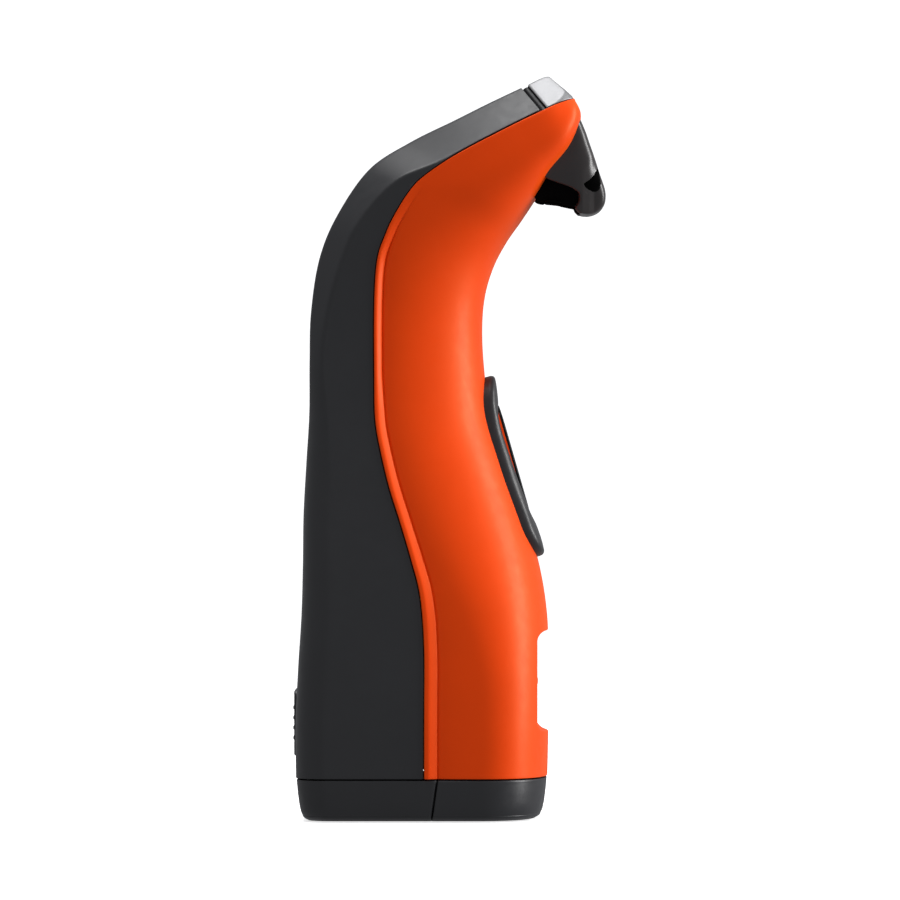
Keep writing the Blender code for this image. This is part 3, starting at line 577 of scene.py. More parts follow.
def spaced_back(start, close, across):
    """Shares from start back to 0: columns that are close behind it, then across even ones."""
    columns = close.shape[1]
    rest = (start[:, columns:] - close[:, -1:]) * (1 - np.arange(1, across + 1) / across)
    return np.concatenate([start[:, :columns] - close, rest], axis=1)


def rear_grid():
    """The rear shell's rows and shares: up to its slanted end, and from the parting line back."""
    back_line = along(POINTS[:, 0])
    rows = np.interp(np.linspace(EDGE, np.interp(15.9, ROWS, back_line), 320), back_line, ROWS)
    close, across = np.array([0, 0.4, 0.9]), 84
    level_rows = u = np.repeat(rows[:, None], len(close) + across, axis=1)
    ease = np.clip((u - rows[-1] + 3) / 3, 0, 1)
    for _ in range(FITTING_STEPS):
        start = seam_share(u, -GAP / 2 - EDGE)
        length = np.interp(u[:, 0], ROWS, LENGTHS)[:, None]
        t = spaced_back(start, np.minimum(close / length, 0.5 * start[:, : len(close)]), across)
        u = level_rows + ease * (plane_row(t, REAR_END, -EDGE) - rows[-1])
    return u, t


def make_screw_well(number):
    """The bore for a shell screw, and the well that its head sits in."""
    low, high = (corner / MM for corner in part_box(f"shell_screw_{number}"))
    z = (low.z + high.z) / 2
    seat = low.x + SCREW_SEAT
    place = facing((seat, (low.y + high.y) / 2, z), (1, 0, 0))
    far = np.interp(z, POINTS[:HEAD, 0, 2], POINTS[:HEAD, 0, 0]) - seat
    bore = ring_solid("bore", round_rings([(SCREW_BORE, far - 4), (SCREW_BORE, far + 4)]), place)
    end = far + 1.2
    profile = [(SCREW_BORE, end), (SCREW_BORE, 0), (PILOT, 0)]
    profile += [(PILOT, WELL_FLOOR), (WELL_RADIUS, WELL_FLOOR), (WELL_RADIUS, end)]
    return bore, ring_solid("well", round_rings(profile), place, hoop=True)


def make_rear_shell():
    """The charcoal half, with the hole for the latch pad and four screw wells."""
    u, t = rear_grid()
    base, normal = surface(u, t)
    inner = sample(INNER, u, t)
    end_step = np.clip((plane_distance(base, REAR_END) + 2.4) / 0.3, 0, 1) * (t < 0.16)
    outer = base - normal * (0.25 * end_step)[..., None]
    shell = sheet_solid("charcoal_rear_shell", mirrored(outer), mirrored(inner), EDGE, 50)
    side = LATCH_SIDE + 2 * LATCH_GAP
    latch_place = facing((-36, 0, LATCH_Z), (-1, 0, 0))
    hole = layered("latch_hole", rounded_box(side, side, LATCH_ROUND + 0.2), [(0, -8), (0, 8)], latch_place)
    bores, wells = zip(*[make_screw_well(number) for number in range(1, SCREW_COUNT + 1)])
    return join("charcoal_rear_shell", carve(shell, hole, *bores, sharp=50), *wells)


def make_nose_cap():
    """The metal cap: a solid over the nose, from its slanted start round the end face."""
    low = np.concatenate([[0, 0.01, 0.025, 0.045, 0.07], np.linspace(0.1, 1, 40)])
    rows = plane_row(0.3, CAP_START, 0) * (1 - low) + (NOSE + 0.999) * low
    close, across = len(NEAR_EDGE), 60
    level_rows = u = np.repeat(rows[:, None], close + across, axis=1)
    for _ in range(FITTING_STEPS):
        start = seam_share(u, -GAP / 2)
        length = np.interp(u[:, 0], ROWS, LENGTHS)[:, None]
        t = spaced_back(start, (start[:, :close] < 0.999) * NEAR_EDGE / np.maximum(length, 1), across)
        u = level_rows + (1 - low[:, None]) * (plane_row(t, CAP_START, 0) - rows[0])
    base, normal = surface(u, t)
    to_seam = np.where(t > 0.999, 9.0, -GAP / 2 - seam_distance(base))
    drop = rounding(np.minimum(to_seam, plane_distance(base, CAP_START)), EDGE)
    return floored_solid("silver_nose_cap", mirrored(base - normal * drop[..., None]))


def make_indicator():
    """The dark light bar between the rear shell and the cap, set a little lower than both."""
    low, across = np.linspace(0, 1, 9), 70
    first = plane_row(0.3, REAR_END, BAR_GAP)
    last = plane_row(0.3, CAP_START, -BAR_GAP)
    u = np.repeat((first + (last - first) * low)[:, None], across, axis=1)
    for _ in range(FITTING_STEPS):
        t = seam_share(u, -GAP / 2) * (1 - np.arange(across) / (across - 1))
        start, end = plane_row(t, REAR_END, BAR_GAP), plane_row(t, CAP_START, -BAR_GAP)
        u = start + (end - start) * low[:, None]
    base, normal = surface(u, t)
    inset = 0.5 + 0.3 * (2 * low - 1) ** 2
    return floored_solid("indicator_bar", mirrored(base - normal * inset[:, None, None]))


# ---- hood

HOOD_FRONT = np.array([
    (47, 210.4), (48.4, 207.4), (49.6, 204.5), (50.7, 201.3), (51.8, 198.2), (52.8, 195.2),
    (53.7, 192.4), (54.6, 189.9), (55.3, 187.6), (55.5, 185.4), (55.1, 183.2), (53.9, 181.5),
    (52.2, 180.5), (50.4, 180.1), (48.8, 180.2),
])
HOOD_BACK = np.array([
    (42, 208), (40.6, 204.6), (39.4, 201.5), (38, 198.6), (36.8, 195.8), (36.4, 193),
    (38.4, 191.2), (41.8, 189.9), (45, 188.8), (47.4, 187.4), (48.3, 185.9), (48.4, 184.6),
    (48.1, 183.5), (47.7, 182.6), (47.2, 181.9),
])
HOOD_HALF = 15.0
HOOD_WALL = 1.7
HOOD_DEPTH = 12.0  # how deep its section counts as, where its points are spaced out
LINER_FRONT = np.array([
    (46, 206), (48.6, 199), (50.6, 193), (52.2, 188), (52, 184.2), (48.6, 182.2),
])
LINER_BACK = np.array([
    (38, 200), (36, 195), (34.8, 190.5), (34.4, 187), (35.4, 184.5), (40.4, 184),
])
LINER_HALF = 12.2
TEARDROP = np.array([
    (52.9, 193.4), (51.6, 191.6), (50.3, 190.3), (48.9, 189.3), (49.3, 188.2), (50.6, 187.3),
    (52.2, 187), (53.3, 187.6), (53.8, 189), (53.5, 191.3),
])


def hood_lines(front, back, stations, ahead):
    """Lines from the back curve to the front one, in the XZ plane, with points at shares ahead."""
    front, back = curve(front, stations), curve(back, stations)
    return back[:, None] + (front - back)[:, None] * ahead[:, None]


def hood_grid():
    """The hood's outer face: sections from the free edge, round the front, to the other edge."""
    share = even(np.stack(superellipse(9, 60), axis=1) * (HOOD_DEPTH, HOOD_HALF), 60)
    line = hood_lines(HOOD_FRONT, HOOD_BACK, 90, share[:, 0] / HOOD_DEPTH)
    border = np.interp(line[..., 0], [36, 46.5, 48.5, 50.5, 52], [192.6, 192.6, 193.3, 195.6, 198])
    below = border - line[..., 1]
    sink = 0.15 * (below + np.sqrt(below**2 + 0.8))
    width = share[:, 1] * (1 - sink / HOOD_HALF)
    return side_grid(line, width)


def side_grid(line, width):
    """Both sides of a grid, from its points in the XZ plane and its half width at each."""
    return mirrored(np.stack([line[..., 0], -width, line[..., 1]], axis=-1))


def wall(name, outer, thickness, radius):
    """A wall inside a mirrored grid that bulges towards +X at its middle column."""
    normal = unit(np.cross(np.gradient(outer, axis=1), np.gradient(outer, axis=0)))
    rows, columns = outer.shape[:2]
    if normal[rows // 4, columns // 2, 0] < 0:
        normal = -normal
    return sheet_solid(name, outer, outer - normal * thickness, radius)


def teardrop_rings(count, layers):
    """Rings of count points along the hood's side opening, from (scale, y) pairs."""
    middle = TEARDROP.mean(axis=0)
    wrapped = np.concatenate([TEARDROP[-2:], TEARDROP, TEARDROP[:3]])
    loop = smooth(wrapped, np.linspace(2, 2 + len(TEARDROP), count + 1))[:-1] - middle
    lines = [(middle + loop * scale, y) for scale, y in layers]
    return [np.c_[line[:, 0], np.full(count, y), line[:, 1]] for line, y in lines]


def make_hood():
    """The cover under the nose, with a teardrop opening in each side."""
    hood = wall("scan_hood_cover", hood_grid(), HOOD_WALL, HOOD_WALL * 0.49)
    sides = ((-30, -12), (12, 30))
    holes = [ring_solid("teardrop", teardrop_rings(60, [(1, near), (1, far)])) for near, far in sides]
    return carve(hood, *holes)


def make_hood_core():
    """The near-black plug behind the hood's two side openings: painted shade, so that they look like a deep dark
    hollow.
    """
    layers = [(0.84, -12.4), (1.05, -12.0), (1.05, 12.0), (0.84, 12.4)]
    return ring_solid("hood_core", teardrop_rings(40, layers))


def make_hood_liner():
    """The inner wall of the hood, round the scan engine's line of sight. Its near-black colour is painted shade
    for the hollow inside the hood.
    """
    ahead, aside = superellipse(7, 40)
    line = hood_lines(LINER_FRONT, LINER_BACK, 40, ahead)
    taper = np.interp(line[..., 1], [180, 192], [0.78, 1.0])
    return wall("hood_liner", side_grid(line, LINER_HALF * aside * taper), 1.0, 0.45)


# ---- trigger

TRIGGER_FACE = (28.6, 0.0, 106.1)
TRIGGER_TILT = math.radians(16.0)
TRIGGER = facing(TRIGGER_FACE, (math.cos(TRIGGER_TILT), 0, math.sin(TRIGGER_TILT)))
BEZEL_SIZE = (56.0, 21.0)
BEZEL_SHIFT = 0.8
BEZEL_TAPER = 0.25  # share of its width that the bezel loses towards its upper end
BEZEL_LIFT = 0.6  # how much prouder its upper end is
BEZEL_RISE = 2.5
BEZEL_ROOM = 5.0  # where the bezel is narrower than this, its rounded edges shrink with it
KEY_HOLE = (37.0, 13.0)
KEY_SIZE = (36.0, 12.0)
KEY_FLANGE = 1.8
PLATE_THICK = 0.75


def stadium(length, width, count=160, shift=0.0):
    """A closed outline with straight sides and round ends, evenly spaced."""
    radius = width / 2
    reach = length / 2 - radius
    angle = np.linspace(-math.pi / 2, math.pi / 2, 60)
    right = np.c_[reach + radius * np.cos(angle), radius * np.sin(angle)]
    loop = np.concatenate([right, -right, right[:1]])
    return even(loop, count + 1)[:-1] + (shift, 0.0)


def upper_share(x):
    """How far towards the bezel's upper end x lies, from 0 to 1, with a smooth start and end."""
    share = np.clip((10 - x) / 36, 0, 1)
    return share**2 * (3 - 2 * share)


def bezel_outline(margin=0.0):
    """The bezel's outline, moved out by a margin. It narrows towards its upper end."""
    line = stadium(*[side + 2 * margin for side in BEZEL_SIZE], shift=BEZEL_SHIFT)
    line[:, 1] *= 1 - BEZEL_TAPER * upper_share(line[:, 0])
    return line


def shell_heights(place):
    """A function for the height of the housing's front along a place's Z, at its x and y."""
    u, t = np.meshgrid(np.linspace(3, 11, 120), np.linspace(0.6, 1, 60), indexing="ij")
    grid = mirrored(sample(POINTS, u, t))
    tree = BVHTree.FromPolygons(grid.reshape(-1, 3).tolist(), grid_faces(*grid.shape[:2]).tolist())
    down = place.to_3x3() @ Vector((0, 0, -1))
    back = place.inverted()
    return lambda x, y: (back @ tree.ray_cast(place @ Vector((x, y, 40)), down)[0]).z


def make_bezel():
    """The soft raised frame round the key, which follows the shell it sits on."""
    height = shell_heights(TRIGGER)
    outer = bezel_outline()
    lift = BEZEL_LIFT * upper_share(outer[:, 0]) ** 3
    inner = stadium(*KEY_HOLE)
    across = inner - outer
    room = np.maximum(np.linalg.norm(across, axis=1), BEZEL_ROOM)[:, None]
    outer_edge = [(0, -1.5), (0, 0.2), (0, 0.9), (0.12, 1.5), (0.4, 2), (0.85, 2.35), (1.4, BEZEL_RISE)]
    inner_edge = [(0.6, BEZEL_RISE), (0.25, 2.42), (0.06, 2.2), (0, 1.9), (0, -1.5)]
    top = [(share, BEZEL_RISE + 0.15 * math.sin(math.pi * share)) for share in (0.35, 0.5, 0.65, 0.8)]
    rows = [(outer + across * (away / room), rise) for away, rise in outer_edge]
    rows += [(outer + across * share, rise) for share, rise in top]
    rows += [(inner - across * (away / room), rise) for away, rise in inner_edge]
    rings = []
    for points, rise in rows:
        heights = [height(x, y) for x, y in points]
        rings.append(np.c_[points, heights + lift + rise])
    return ring_solid("trigger_frame", rings, TRIGGER, 60, hoop=True)


def make_key():
    """The dark plate on the face of the orange key, and the key, with its flange at the bottom."""

    def outline(inset):
        return stadium(*[side - 2 * inset for side in KEY_SIZE], 120)

    dome = [(1.5, 0.08), (3, 0.14), (4.5, 0.18), (5.6, 0.2)]
    plate = layered("trigger_plate", outline, edge_layers(PLATE_THICK, 0.3) + dome, TRIGGER)
    flange = [(-KEY_FLANGE, -9.5), (-KEY_FLANGE, -8.2), (0, -8)]
    top = [(0, -0.8), (0.1, -0.6), (0.6, -0.5), (3, -0.5)]
    return plate, layered("trigger_key", outline, flange + top, TRIGGER)


# ---- foot and latch

BASE_ROWS = [(12.4, 0.2), (8, 0.6), (4, 1.2), (1.6, 2), (0.7, 2.8), (0.2, 4)]
BASE_SPLIT = ((5.2, 11.5), (3.5, -0.3))
FOOT_MIDDLE = 16.0  # inset at which the foot's floor and underside close
PAD_INSET = 8.0


def foot_profile():
    """The foot's section, from its floor over its rim to its underside: inset from the housing's
    outline, height, and whether the row is on the outside."""
    rows = [(FOOT_MIDDLE, 4, 0), (4.6, 4, 0), (4.2, 4.3, 0), (3, 11.9, 0), (2.7, 12.2, 0)]
    rows += [(0.55, 12.4, 1), (0.3, 12.32, 1), (0.2, 12.1, 1)]
    for inset, height in curve(np.array(BASE_ROWS)[:, ::-1], 46):
        if 0.25 < height < 12.0:
            line = 0.16 * math.exp(-((height - 1.75) / 0.12) ** 2)
            rows.append((inset + line, height, 1))
    pocket = PAD_INSET - GAP
    return rows + [(3.6, 0.24, 1), (4.3, 0.2, 1), (pocket, 0.2, 1), (pocket, 1.7, 0), (FOOT_MIDDLE, 1.7, 0)]


def outline_at(inset):
    """The near half of the foot's outline, moved in by inset, back to front."""
    return section_line(SECTIONS[0], inset)[:, :2]


def make_foot_half(name, side, radius):
    """One of the foot's two mouldings, on side 1 (front) or -1 (rear) of the slanted joint."""
    (top_x, top_z), (low_x, low_z) = BASE_SPLIT
    close = np.array([0, 0.04, 0.1, 0.2, 0.32, 0.48, 0.66, 0.85, 1.2, 1.8])
    grid = []
    for inset, height, outside in foot_profile():
        split = low_x + (top_x - low_x) * (height - low_z) / (top_z - low_z)
        split += side * GAP / 2
        line = outline_at(inset)
        cut = (split, np.interp(split, line[:, 0], line[:, 1]))
        path = np.concatenate([[cut], line[side * (line[:, 0] - split) > 0][::side]])
        wanted = np.concatenate([close, np.linspace(close[-1], along(path)[-1], 60)[1:]])
        points = at_lengths(path, wanted)
        if outside:
            points[:, 1] += rounding(wanted, radius)
        grid.append(np.c_[points, np.full(len(points), height)])
    return floored_solid(name, mirrored(np.array(grid)), flat=True)


def make_tongue():
    """The rear half's tongue, which closes the joint between the halves from inside."""
    layers = [(0, 4), (0, 12.1), (0.3, 12.4)]
    place = Matrix.Translation((4.4, 0, 0))
    return layered("foot_tongue", rounded_box(6, 45, 1), layers, place)


def make_pad():
    """The rubber sole, with two grooves round it."""

    def outline(inset):
        near = even(outline_at(PAD_INSET + inset), 90)
        far = near[-2:0:-1] * (1, -1)
        return np.concatenate([near, far])

    layers = [(0, 1.4), (0, 0.35), (0.1, 0.12), (0.35, 0)]
    for start in (3, 6):
        layers += [(start, 0), (start + 0.15, 0.5), (start + 0.85, 0.5), (start + 1, 0)]
    layers += [(10, 0), (14, 0)]
    return layered("rubber_sole", outline, layers)


def make_latch():
    """The battery latch: a rounded pad with finger ribs, low on the back."""
    low, high = (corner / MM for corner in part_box("latch_button"))
    place = facing((low.x, 0, LATCH_Z), (-1, 0, 0))
    depth = high.x - low.x
    shape = rounded_box(LATCH_SIDE, LATCH_SIDE, LATCH_ROUND)
    layers = [(-1.6, -depth), (-1.6, 1.1 - depth), (0, 1.1 - depth)] + edge_layers(2.5, 0.5)[1:]
    pad = layered("latch_pad", shape, layers + [(3, 0)], place)
    ribs = []
    for offset in (-4.5, -1.5, 1.5, 4.5):
        spot = place @ Matrix.Translation((offset, 0, 0))
        rib_layers = [(0, -0.6), (0, 0.05), (0.12, 0.25), (0.35, 0.35)]
        ribs.append(layered("rib", rounded_box(1.3, 13, 0.6), rib_layers, spot))
    return join("latch_pad_ribbed", pad, *ribs)


def make_spring(button, wire, turns):
    """A coil in place of the frame's plainer one."""
    joint = next(item for item in frame["joints"] if item["name"] == f"{button}_press")
    place = facing((0, 0, 0), joint["axis"])
    turn = np.array(place)[:3, :3]
    points_per_turn, sides = 30, 12
    spots = np.array([vertex.co for vertex in frame["nodes"][f"{button}_spring"].data.vertices]) / MM @ turn
    low, high = spots.min(axis=0), spots.max(axis=0)
    middle = (low + high) / 2
    radius = (high[1] - low[1]) / 2 - wire
    around = np.linspace(0, 2 * math.pi, sides + 1)[:-1]
    rings = []
    for share in np.linspace(0, 1, turns * points_per_turn + 1):
        angle = 2 * math.pi * turns * share
        out = radius + wire * np.cos(around)
        height = low[2] + wire + (high[2] - low[2] - 2 * wire) * share + wire * np.sin(around)
        rings.append(np.c_[middle[0] + out * math.cos(angle), middle[1] + out * math.sin(angle), height])
    spring = ring_solid(f"{button}_coil", rings, place)
    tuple(joint["axis"])
    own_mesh(spring)
    return spring


# ---- materials


class Finish:
    """A Principled material whose nodes are added one by one."""

    def __init__(self, name, color, roughness, **settings):
        self.material = bpy.data.materials.new(name)
        self.material.use_nodes = True
        self.tree = self.material.node_tree
        self.shader = self.tree.nodes["Principled BSDF"]
        self.place = self.node("ShaderNodeTexCoord").outputs["Object"]
        self.own_color, self.own_roughness = color, roughness
        self.shader.inputs["Base Color"].default_value = (*color, 1.0)
        self.shader.inputs["Roughness"].default_value = roughness
        for key, value in settings.items():
            self.shader.inputs[key.replace("_", " ")].default_value = value

    def node(self, kind, **values):
        made = self.tree.nodes.new(kind)
        for key, value in values.items():
            if key in made.inputs:
                made.inputs[key].default_value = value
            else:
                setattr(made, key, value)
        return made

    def link(self, output, target):
        self.tree.links.new(output, target)

    def texture(self, kind, **values):
        """The outputs of a texture that lies on the object itself."""
        made = self.node(kind, **values)
        self.link(self.place, made.inputs["Vector"])
        return made.outputs

    def noise(self, size_mm, detail=3.0):
        return self.texture("ShaderNodeTexNoise", Scale=1 / (size_mm * MM), Detail=detail)["Fac"]

    def spread(self, value, low, high, start=0.3, end=0.7):
        """value, from start to end, turned into a number from low to high."""
        made = self.node("ShaderNodeMapRange")
        for key, number in (("From Min", start), ("From Max", end), ("To Min", low), ("To Max", high)):
            made.inputs[key].default_value = number
        self.link(value, made.inputs["Value"])
        return made.outputs["Result"]

    def ramp(self, value, *stops):
        made = self.node("ShaderNodeValToRGB")
        elements = made.color_ramp.elements
        while len(elements) < len(stops):
            elements.new(0.5)
        for element, (position, color) in zip(elements, stops):
            element.position = position
            element.color = (*color, 1.0)
        self.link(value, made.inputs["Fac"])
        return made.outputs["Color"]

    def mix(self, share, value, color):
        """value, or color where share is 1."""
        made = self.node("ShaderNodeMix", data_type="RGBA")
        self.link(share, made.inputs["Factor"])
        self.link(value, made.inputs["A"])
        made.inputs["B"].default_value = (*color, 1.0)
        return made.outputs["Result"]

    def roughness(self, below, above, size_mm, detail=3.0, **ends):
        """Lets the roughness drift by so much below and above its own value."""
        cloud = self.noise(size_mm, detail)
        value = self.spread(cloud, self.own_roughness - below, self.own_roughness + above, **ends)
        self.link(value, self.shader.inputs["Roughness"])

    def color(self, value):
        self.link(value, self.shader.inputs["Base Color"])

    def tones(self, value, *stops):
        """Shades of the finish's own colour, from (spot, factor) pairs."""
        return self.ramp(value, *[(spot, shade(self.own_color, factor)) for spot, factor in stops])

    def bump(self, *layers):
        """Bump from (height, depth in mm) pairs."""
        normal = None
        for height, depth in layers:
            made = self.node("ShaderNodeBump", Distance=depth * MM, Strength=1.0)
            self.link(height, made.inputs["Height"])
            if normal:
                self.link(normal, made.inputs["Normal"])
            normal = made.outputs["Normal"]
        self.link(normal, self.shader.inputs["Normal"])


def shade(color, factor):
    """A colour times factor, kept within 1."""
    return tuple(min(1.0, channel * factor) for channel in color)


def moulded(name, color, roughness, grain=0.35, wear=1.3, tone=0.06, **settings):
    """Moulded plastic: spark-eroded grain, slow drifts of tone and gloss, paler edges."""
    finish = Finish(name, color, roughness, **settings)
    drift = finish.noise(22, 4)
    edges = finish.node("ShaderNodeNewGeometry").outputs["Pointiness"]
    base = finish.tones(drift, (0.3, 1 - tone), (0.7, 1 + tone))
    finish.color(finish.mix(finish.spread(edges, 0.0, 1.0, 0.53, 0.62), base, shade(color, wear)))
    finish.roughness(0.05, 0.05, 3, 5)
    finish.bump((finish.noise(grain, 2), 0.008), (finish.noise(6, 2), 0.016))
    return finish.material


def satin_metal(name, color, roughness):
    """Bead-blasted metal: a fine even grain and faint cloudiness."""
    finish = Finish(name, color, roughness, Metallic=0.75)
    finish.color(finish.tones(finish.noise(5, 4), (0.3, 0.97), (0.7, 1.02)))
    finish.roughness(0.03, 0.03, 0.36, 2)
    finish.bump((finish.noise(0.12, 1), 0.002))
    return finish.material


def turned_metal(name, color, roughness):
    """Plated steel or gold, with the fine rings of a turned part."""
    finish = Finish(name, color, roughness, Metallic=1.0)
    rings = finish.texture("ShaderNodeTexWave", Scale=900.0, Distortion=1.5, bands_direction="Z")["Fac"]
    finish.color(finish.tones(finish.noise(1.5), (0.3, 0.85), (0.7, 1.08)))
    finish.roughness(0.08, 0.1, 0.6)
    finish.bump((rings, 0.004))
    return finish.material


def gloss(name, color, roughness):
    """Polished dark plastic, with a faint haze and hardly any waviness."""
    finish = Finish(name, color, roughness, Specular_IOR_Level=0.1, Coat_Weight=0.03, Coat_Roughness=0.15)
    finish.roughness(0, 0.05, 2, 5)
    finish.color(finish.tones(finish.noise(9), (0.3, 0.8), (0.7, 1.3)))
    finish.bump((finish.noise(9, 1), 0.006))
    return finish.material


def rubber(name, color, roughness):
    """Soft-touch rubber: a dull fine pebble with dusty high spots."""
    finish = Finish(name, color, roughness, Sheen_Weight=0.06, Sheen_Roughness=0.5)
    finish.color(finish.tones(finish.noise(7, 5), (0.35, 0.9), (0.75, 1.25)))
    finish.roughness(0.06, 0.08, 1)
    finish.bump((finish.noise(0.25, 2), 0.012), (finish.noise(2.5, 2), 0.01))
    return finish.material


def circuit_board(name, mask):
    """A printed board: traces under a solder mask, plated holes and pads."""
    finish = Finish(name, mask, 0.35)
    kind = "ShaderNodeTexVoronoi"
    lines = finish.texture(kind, Scale=420.0, feature="DISTANCE_TO_EDGE", distance="MANHATTAN")["Distance"]
    trace = finish.tones(lines, (0.02, 1.9), (0.05, 1.7), (0.07, 1))
    dots = finish.texture(kind, Scale=260.0, Randomness=0.55)["Distance"]
    pads = finish.spread(dots, 1.0, 0.0, 0.10, 0.13)
    finish.color(finish.mix(pads, trace, (0.75, 0.55, 0.2)))
    finish.link(pads, finish.shader.inputs["Metallic"])
    finish.bump((lines, -0.02))
    return finish.material


def cell_wrap(name, color):
    """Shrink sleeve on a cell: a soft sheen, fine wrinkles and a pale ring near the top."""
    finish = Finish(name, color, 0.35, Coat_Weight=0.3)
    split = finish.node("ShaderNodeSeparateXYZ")
    finish.link(finish.place, split.inputs["Vector"])
    height = finish.spread(split.outputs["Z"], 0.0, 1.0, 0.0, 0.075)
    pale = (0.6, 0.62, 0.65)
    finish.color(finish.ramp(height, (0.80, color), (0.81, pale), (0.86, pale), (0.87, color)))
    finish.roughness(0.1, 0.1, 4, 4)
    finish.bump((finish.noise(2.0, 3), 0.03))
    return finish.material


def flat_flex(name, color):
    """Polyimide film with copper lines under it."""
    finish = Finish(name, color, 0.4, Coat_Weight=0.4)
    lines = finish.texture("ShaderNodeTexWave", Scale=260.0, bands_direction="Y")["Fac"]
    finish.color(finish.tones(lines, (0.4, 0.55), (0.6, 1.1)))
    finish.roughness(0.1, 0.1, 2)
    finish.bump((lines, 0.02))
    return finish.material


def coated_glass(name, color):
    """Coated optical glass: nearly black, with a faint tint that drifts across it."""
    finish = Finish(name, color, 0.04, Coat_Weight=1.0, Coat_Roughness=0.02, IOR=1.52)
    stops = (0.3, shade(color, 0.7)), (0.7, (0.03, 0.02, 0.06))
    finish.color(finish.ramp(finish.noise(12, 2), *stops))
    finish.roughness(0.01, 0.06, 0.8, 6, start=0.5, end=0.8)
    return finish.material


def floor_paint(name):
    """Pale matt paint that glows a little, so that the floor and the wall come out even."""
    finish = Finish(name, (0.86, 0.86, 0.87), 0.9, Emission_Color=(1, 1, 1, 1), Emission_Strength=0.7)
    stops = (0.3, (0.85, 0.85, 0.86)), (0.7, (0.88, 0.88, 0.885))
    finish.color(finish.ramp(finish.noise(180), *stops))
    return finish.material


def make_materials():
    return {
        "orange_shell": moulded(
            "orange_plastic", (0.88, 0.052, 0.003), 0.5, wear=1.1, tone=0.03, Coat_Weight=0.08,
            Coat_Roughness=0.3, Specular_IOR_Level=0.5, Specular_Tint=(1.0, 0.45, 0.06, 1.0),
            Sheen_Weight=0.3, Sheen_Roughness=0.5, Sheen_Tint=(1.0, 0.4, 0.02, 1.0),
        ),
        "charcoal_shell": moulded("charcoal_plastic", (0.017, 0.017, 0.0195), 0.42, wear=1.6),
        "satin_metal": satin_metal("satin_silver", (0.285, 0.285, 0.292), 0.55),
        "black_gloss": gloss("piano_black", (0.006, 0.006, 0.007), 0.3),
        "hood_plastic": moulded("warm_black_plastic", (0.026, 0.022, 0.022), 0.34, wear=1.5),
        "grip_rubber": rubber("soft_touch_rubber", (0.015, 0.014, 0.016), 0.44),
        # painted shade: near-black, almost unreflecting paint that stands for the shade in the hollow inside the
        # hood
        "painted_shade": moulded("painted_shade_black", (0.002, 0.002, 0.002), 0.95, Specular_IOR_Level=0.05),
        "foot_rubber": rubber("sole_rubber", (0.012, 0.012, 0.013), 0.8),
        "glass": coated_glass("coated_glass", (0.010, 0.012, 0.018)),
        "circuit_board": circuit_board("green_board", (0.008, 0.09, 0.035)),
        "inner_plastic": moulded("inner_plastic", (0.03, 0.03, 0.033), 0.55, grain=0.6),
        "cell_wrap": cell_wrap("cell_sleeve", (0.015, 0.09, 0.32)),
        "steel": turned_metal("plated_steel", (0.58, 0.58, 0.6), 0.3),
        "gold_contact": turned_metal("gold_plate", (0.85, 0.6, 0.22), 0.25),
        "copper_flex": flat_flex("copper_flex_film", (0.55, 0.25, 0.06)),
    }


# ---- stage

CAMERA = (9.0, -1850.0, 110.0)
SENSOR = 36.0
VIEW_WIDTH = 269.7  # what the camera sees across, at the plane of symmetry
FLOOR_Z = -0.0002  # in metres, just under the sole


def add_camera():
    """The camera, level and square to the object's side."""
    data = bpy.data.cameras.new("camera")
    data.sensor_width = SENSOR
    data.lens = SENSOR * -CAMERA[1] / VIEW_WIDTH
    data.clip_end = 50.0
    camera = place_object("camera", data)
    camera.location = [part * MM for part in CAMERA]
    camera.rotation_euler = (math.pi / 2, 0, 0)
    bpy.context.scene.camera = camera


def add_floor(material):
    """A pale round floor that sweeps up into a wall, and that neither lights the object nor shows
    in it. It stays under the sole when the battery pack is pulled out."""
    flat, radius, tall, sides = 1.9, 1.2, 4.0, 96
    sweep = [(flat + radius * ahead, FLOOR_Z + radius * drop) for ahead, drop in arc(24)]
    rings = np.array(round_rings([(0.01, FLOOR_Z), *sweep, (flat + radius, tall)], sides))
    faces = ring_faces(np.arange(rings.size // 3).reshape(len(rings), sides)).tolist()
    mesh = bpy.data.meshes.new("floor")
    mesh.from_pydata(rings.reshape(-1, 3).tolist(), [], faces + [list(range(sides))])
    mesh.shade_smooth()
    mesh.materials.append(material)
    floor = place_object("floor", mesh)
    floor.visible_diffuse = False
    floor.visible_glossy = False
    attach(floor, "battery")


def add_light(name, place, aim, size, power):
    """A soft rectangular light at place, in metres, turned towards aim."""
    data = bpy.data.lights.new(name, "AREA")
    data.shape = "RECTANGLE"
    data.size, data.size_y = size
    data.energy = power
    light = place_object(name, data)
    light.location = place
    light.rotation_euler = (Vector(aim) - Vector(place)).to_track_quat("-Z", "Y").to_euler()


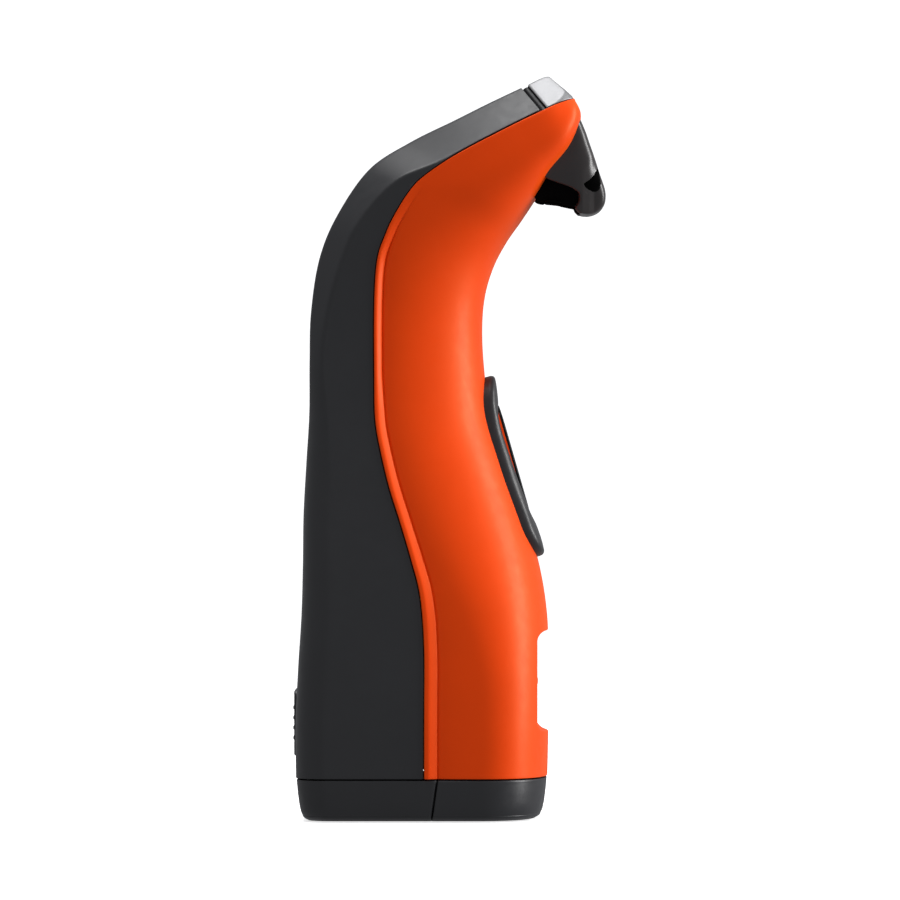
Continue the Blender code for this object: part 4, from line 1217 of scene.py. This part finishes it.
def add_lights():
    middle = (0.01, 0.0, 0.12)
    add_light("right_key", (1.34, -0.13, 0.3), middle, (0.5, 1.1), 26.5)
    add_light("top_soft", (-0.1, -0.1, 1.5), middle, (0.9, 0.8), 20.0)
    world = bpy.data.worlds.new("studio")
    world.use_nodes = True
    background = world.node_tree.nodes["Background"].inputs
    background["Color"].default_value = (0.95, 0.97, 1.0, 1.0)
    background["Strength"].default_value = 0.36
    bpy.context.scene.world = world
    bpy.context.scene.view_settings.view_transform = "Standard"


# ---- the object


def finish_piece(obj, finishes, slot, body, *nodes):
    """Gives a piece the material of its slot and its body, and hides the CAD nodes that it stands for."""
    obj.data.materials.clear()
    obj.data.materials.append(finishes[slot])
    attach(obj, body)
    "hood_plastic" if slot == "painted_shade" else slot
    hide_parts(*nodes)


def dress_frame(finishes):
    """Gives every CAD node that still shows the finish of its slot."""
    for subpart in frame["record"]["subparts"]:
        for place in frame["nodes"][subpart["node"]].material_slots:
            place.material = finishes[subpart["material_slot"]]


def build():
    finishes = make_materials()
    add_camera()
    add_floor(floor_paint("floor_paint"))
    add_lights()
    dress_frame(finishes)
    plate, key = make_key()
    pieces = [
        (make_front_shell(), "orange_shell", "housing", "front_shell"),
        (make_rear_shell(), "charcoal_shell", "housing", "rear_shell"),
        (make_nose_cap(), "satin_metal", "housing", "nose_cap"),
        (make_indicator(), "black_gloss", "housing", "indicator_lens"),
        (make_hood(), "hood_plastic", "housing", "scan_hood"),
        # the hood liner is a real inner wall, but its near-black colour is painted shade
        (make_hood_liner(), "painted_shade", "housing", "scan_hood"),
        # the plug behind the hood's side openings is painted shade, not a part of the hood
        (make_hood_core(), "painted_shade", "housing", "scan_hood"),
        (make_bezel(), "grip_rubber", "housing", "trigger_bezel"),
        (plate, "black_gloss", "trigger", "trigger_face"),
        (key, "orange_shell", "trigger", "trigger_button"),
        (make_foot_half("foot_rear", -1, 0.85), "charcoal_shell", "battery", "base_rear"),
        (make_foot_half("foot_front", 1, 0.3), "charcoal_shell", "battery", "base_front"),
        (make_tongue(), "charcoal_shell", "battery", "base_rear"),
        (make_pad(), "foot_rubber", "battery", "foot_pad"),
        (make_latch(), "charcoal_shell", "latch", "latch_button"),
        (make_spring("trigger", 0.3, 4), "steel", "housing", "trigger_spring"),
        (make_spring("latch", 0.25, 3), "steel", "housing", "latch_spring"),
    ]
    for obj, slot, body, *nodes in pieces:
        finish_piece(obj, finishes, slot, body, *nodes)


build()
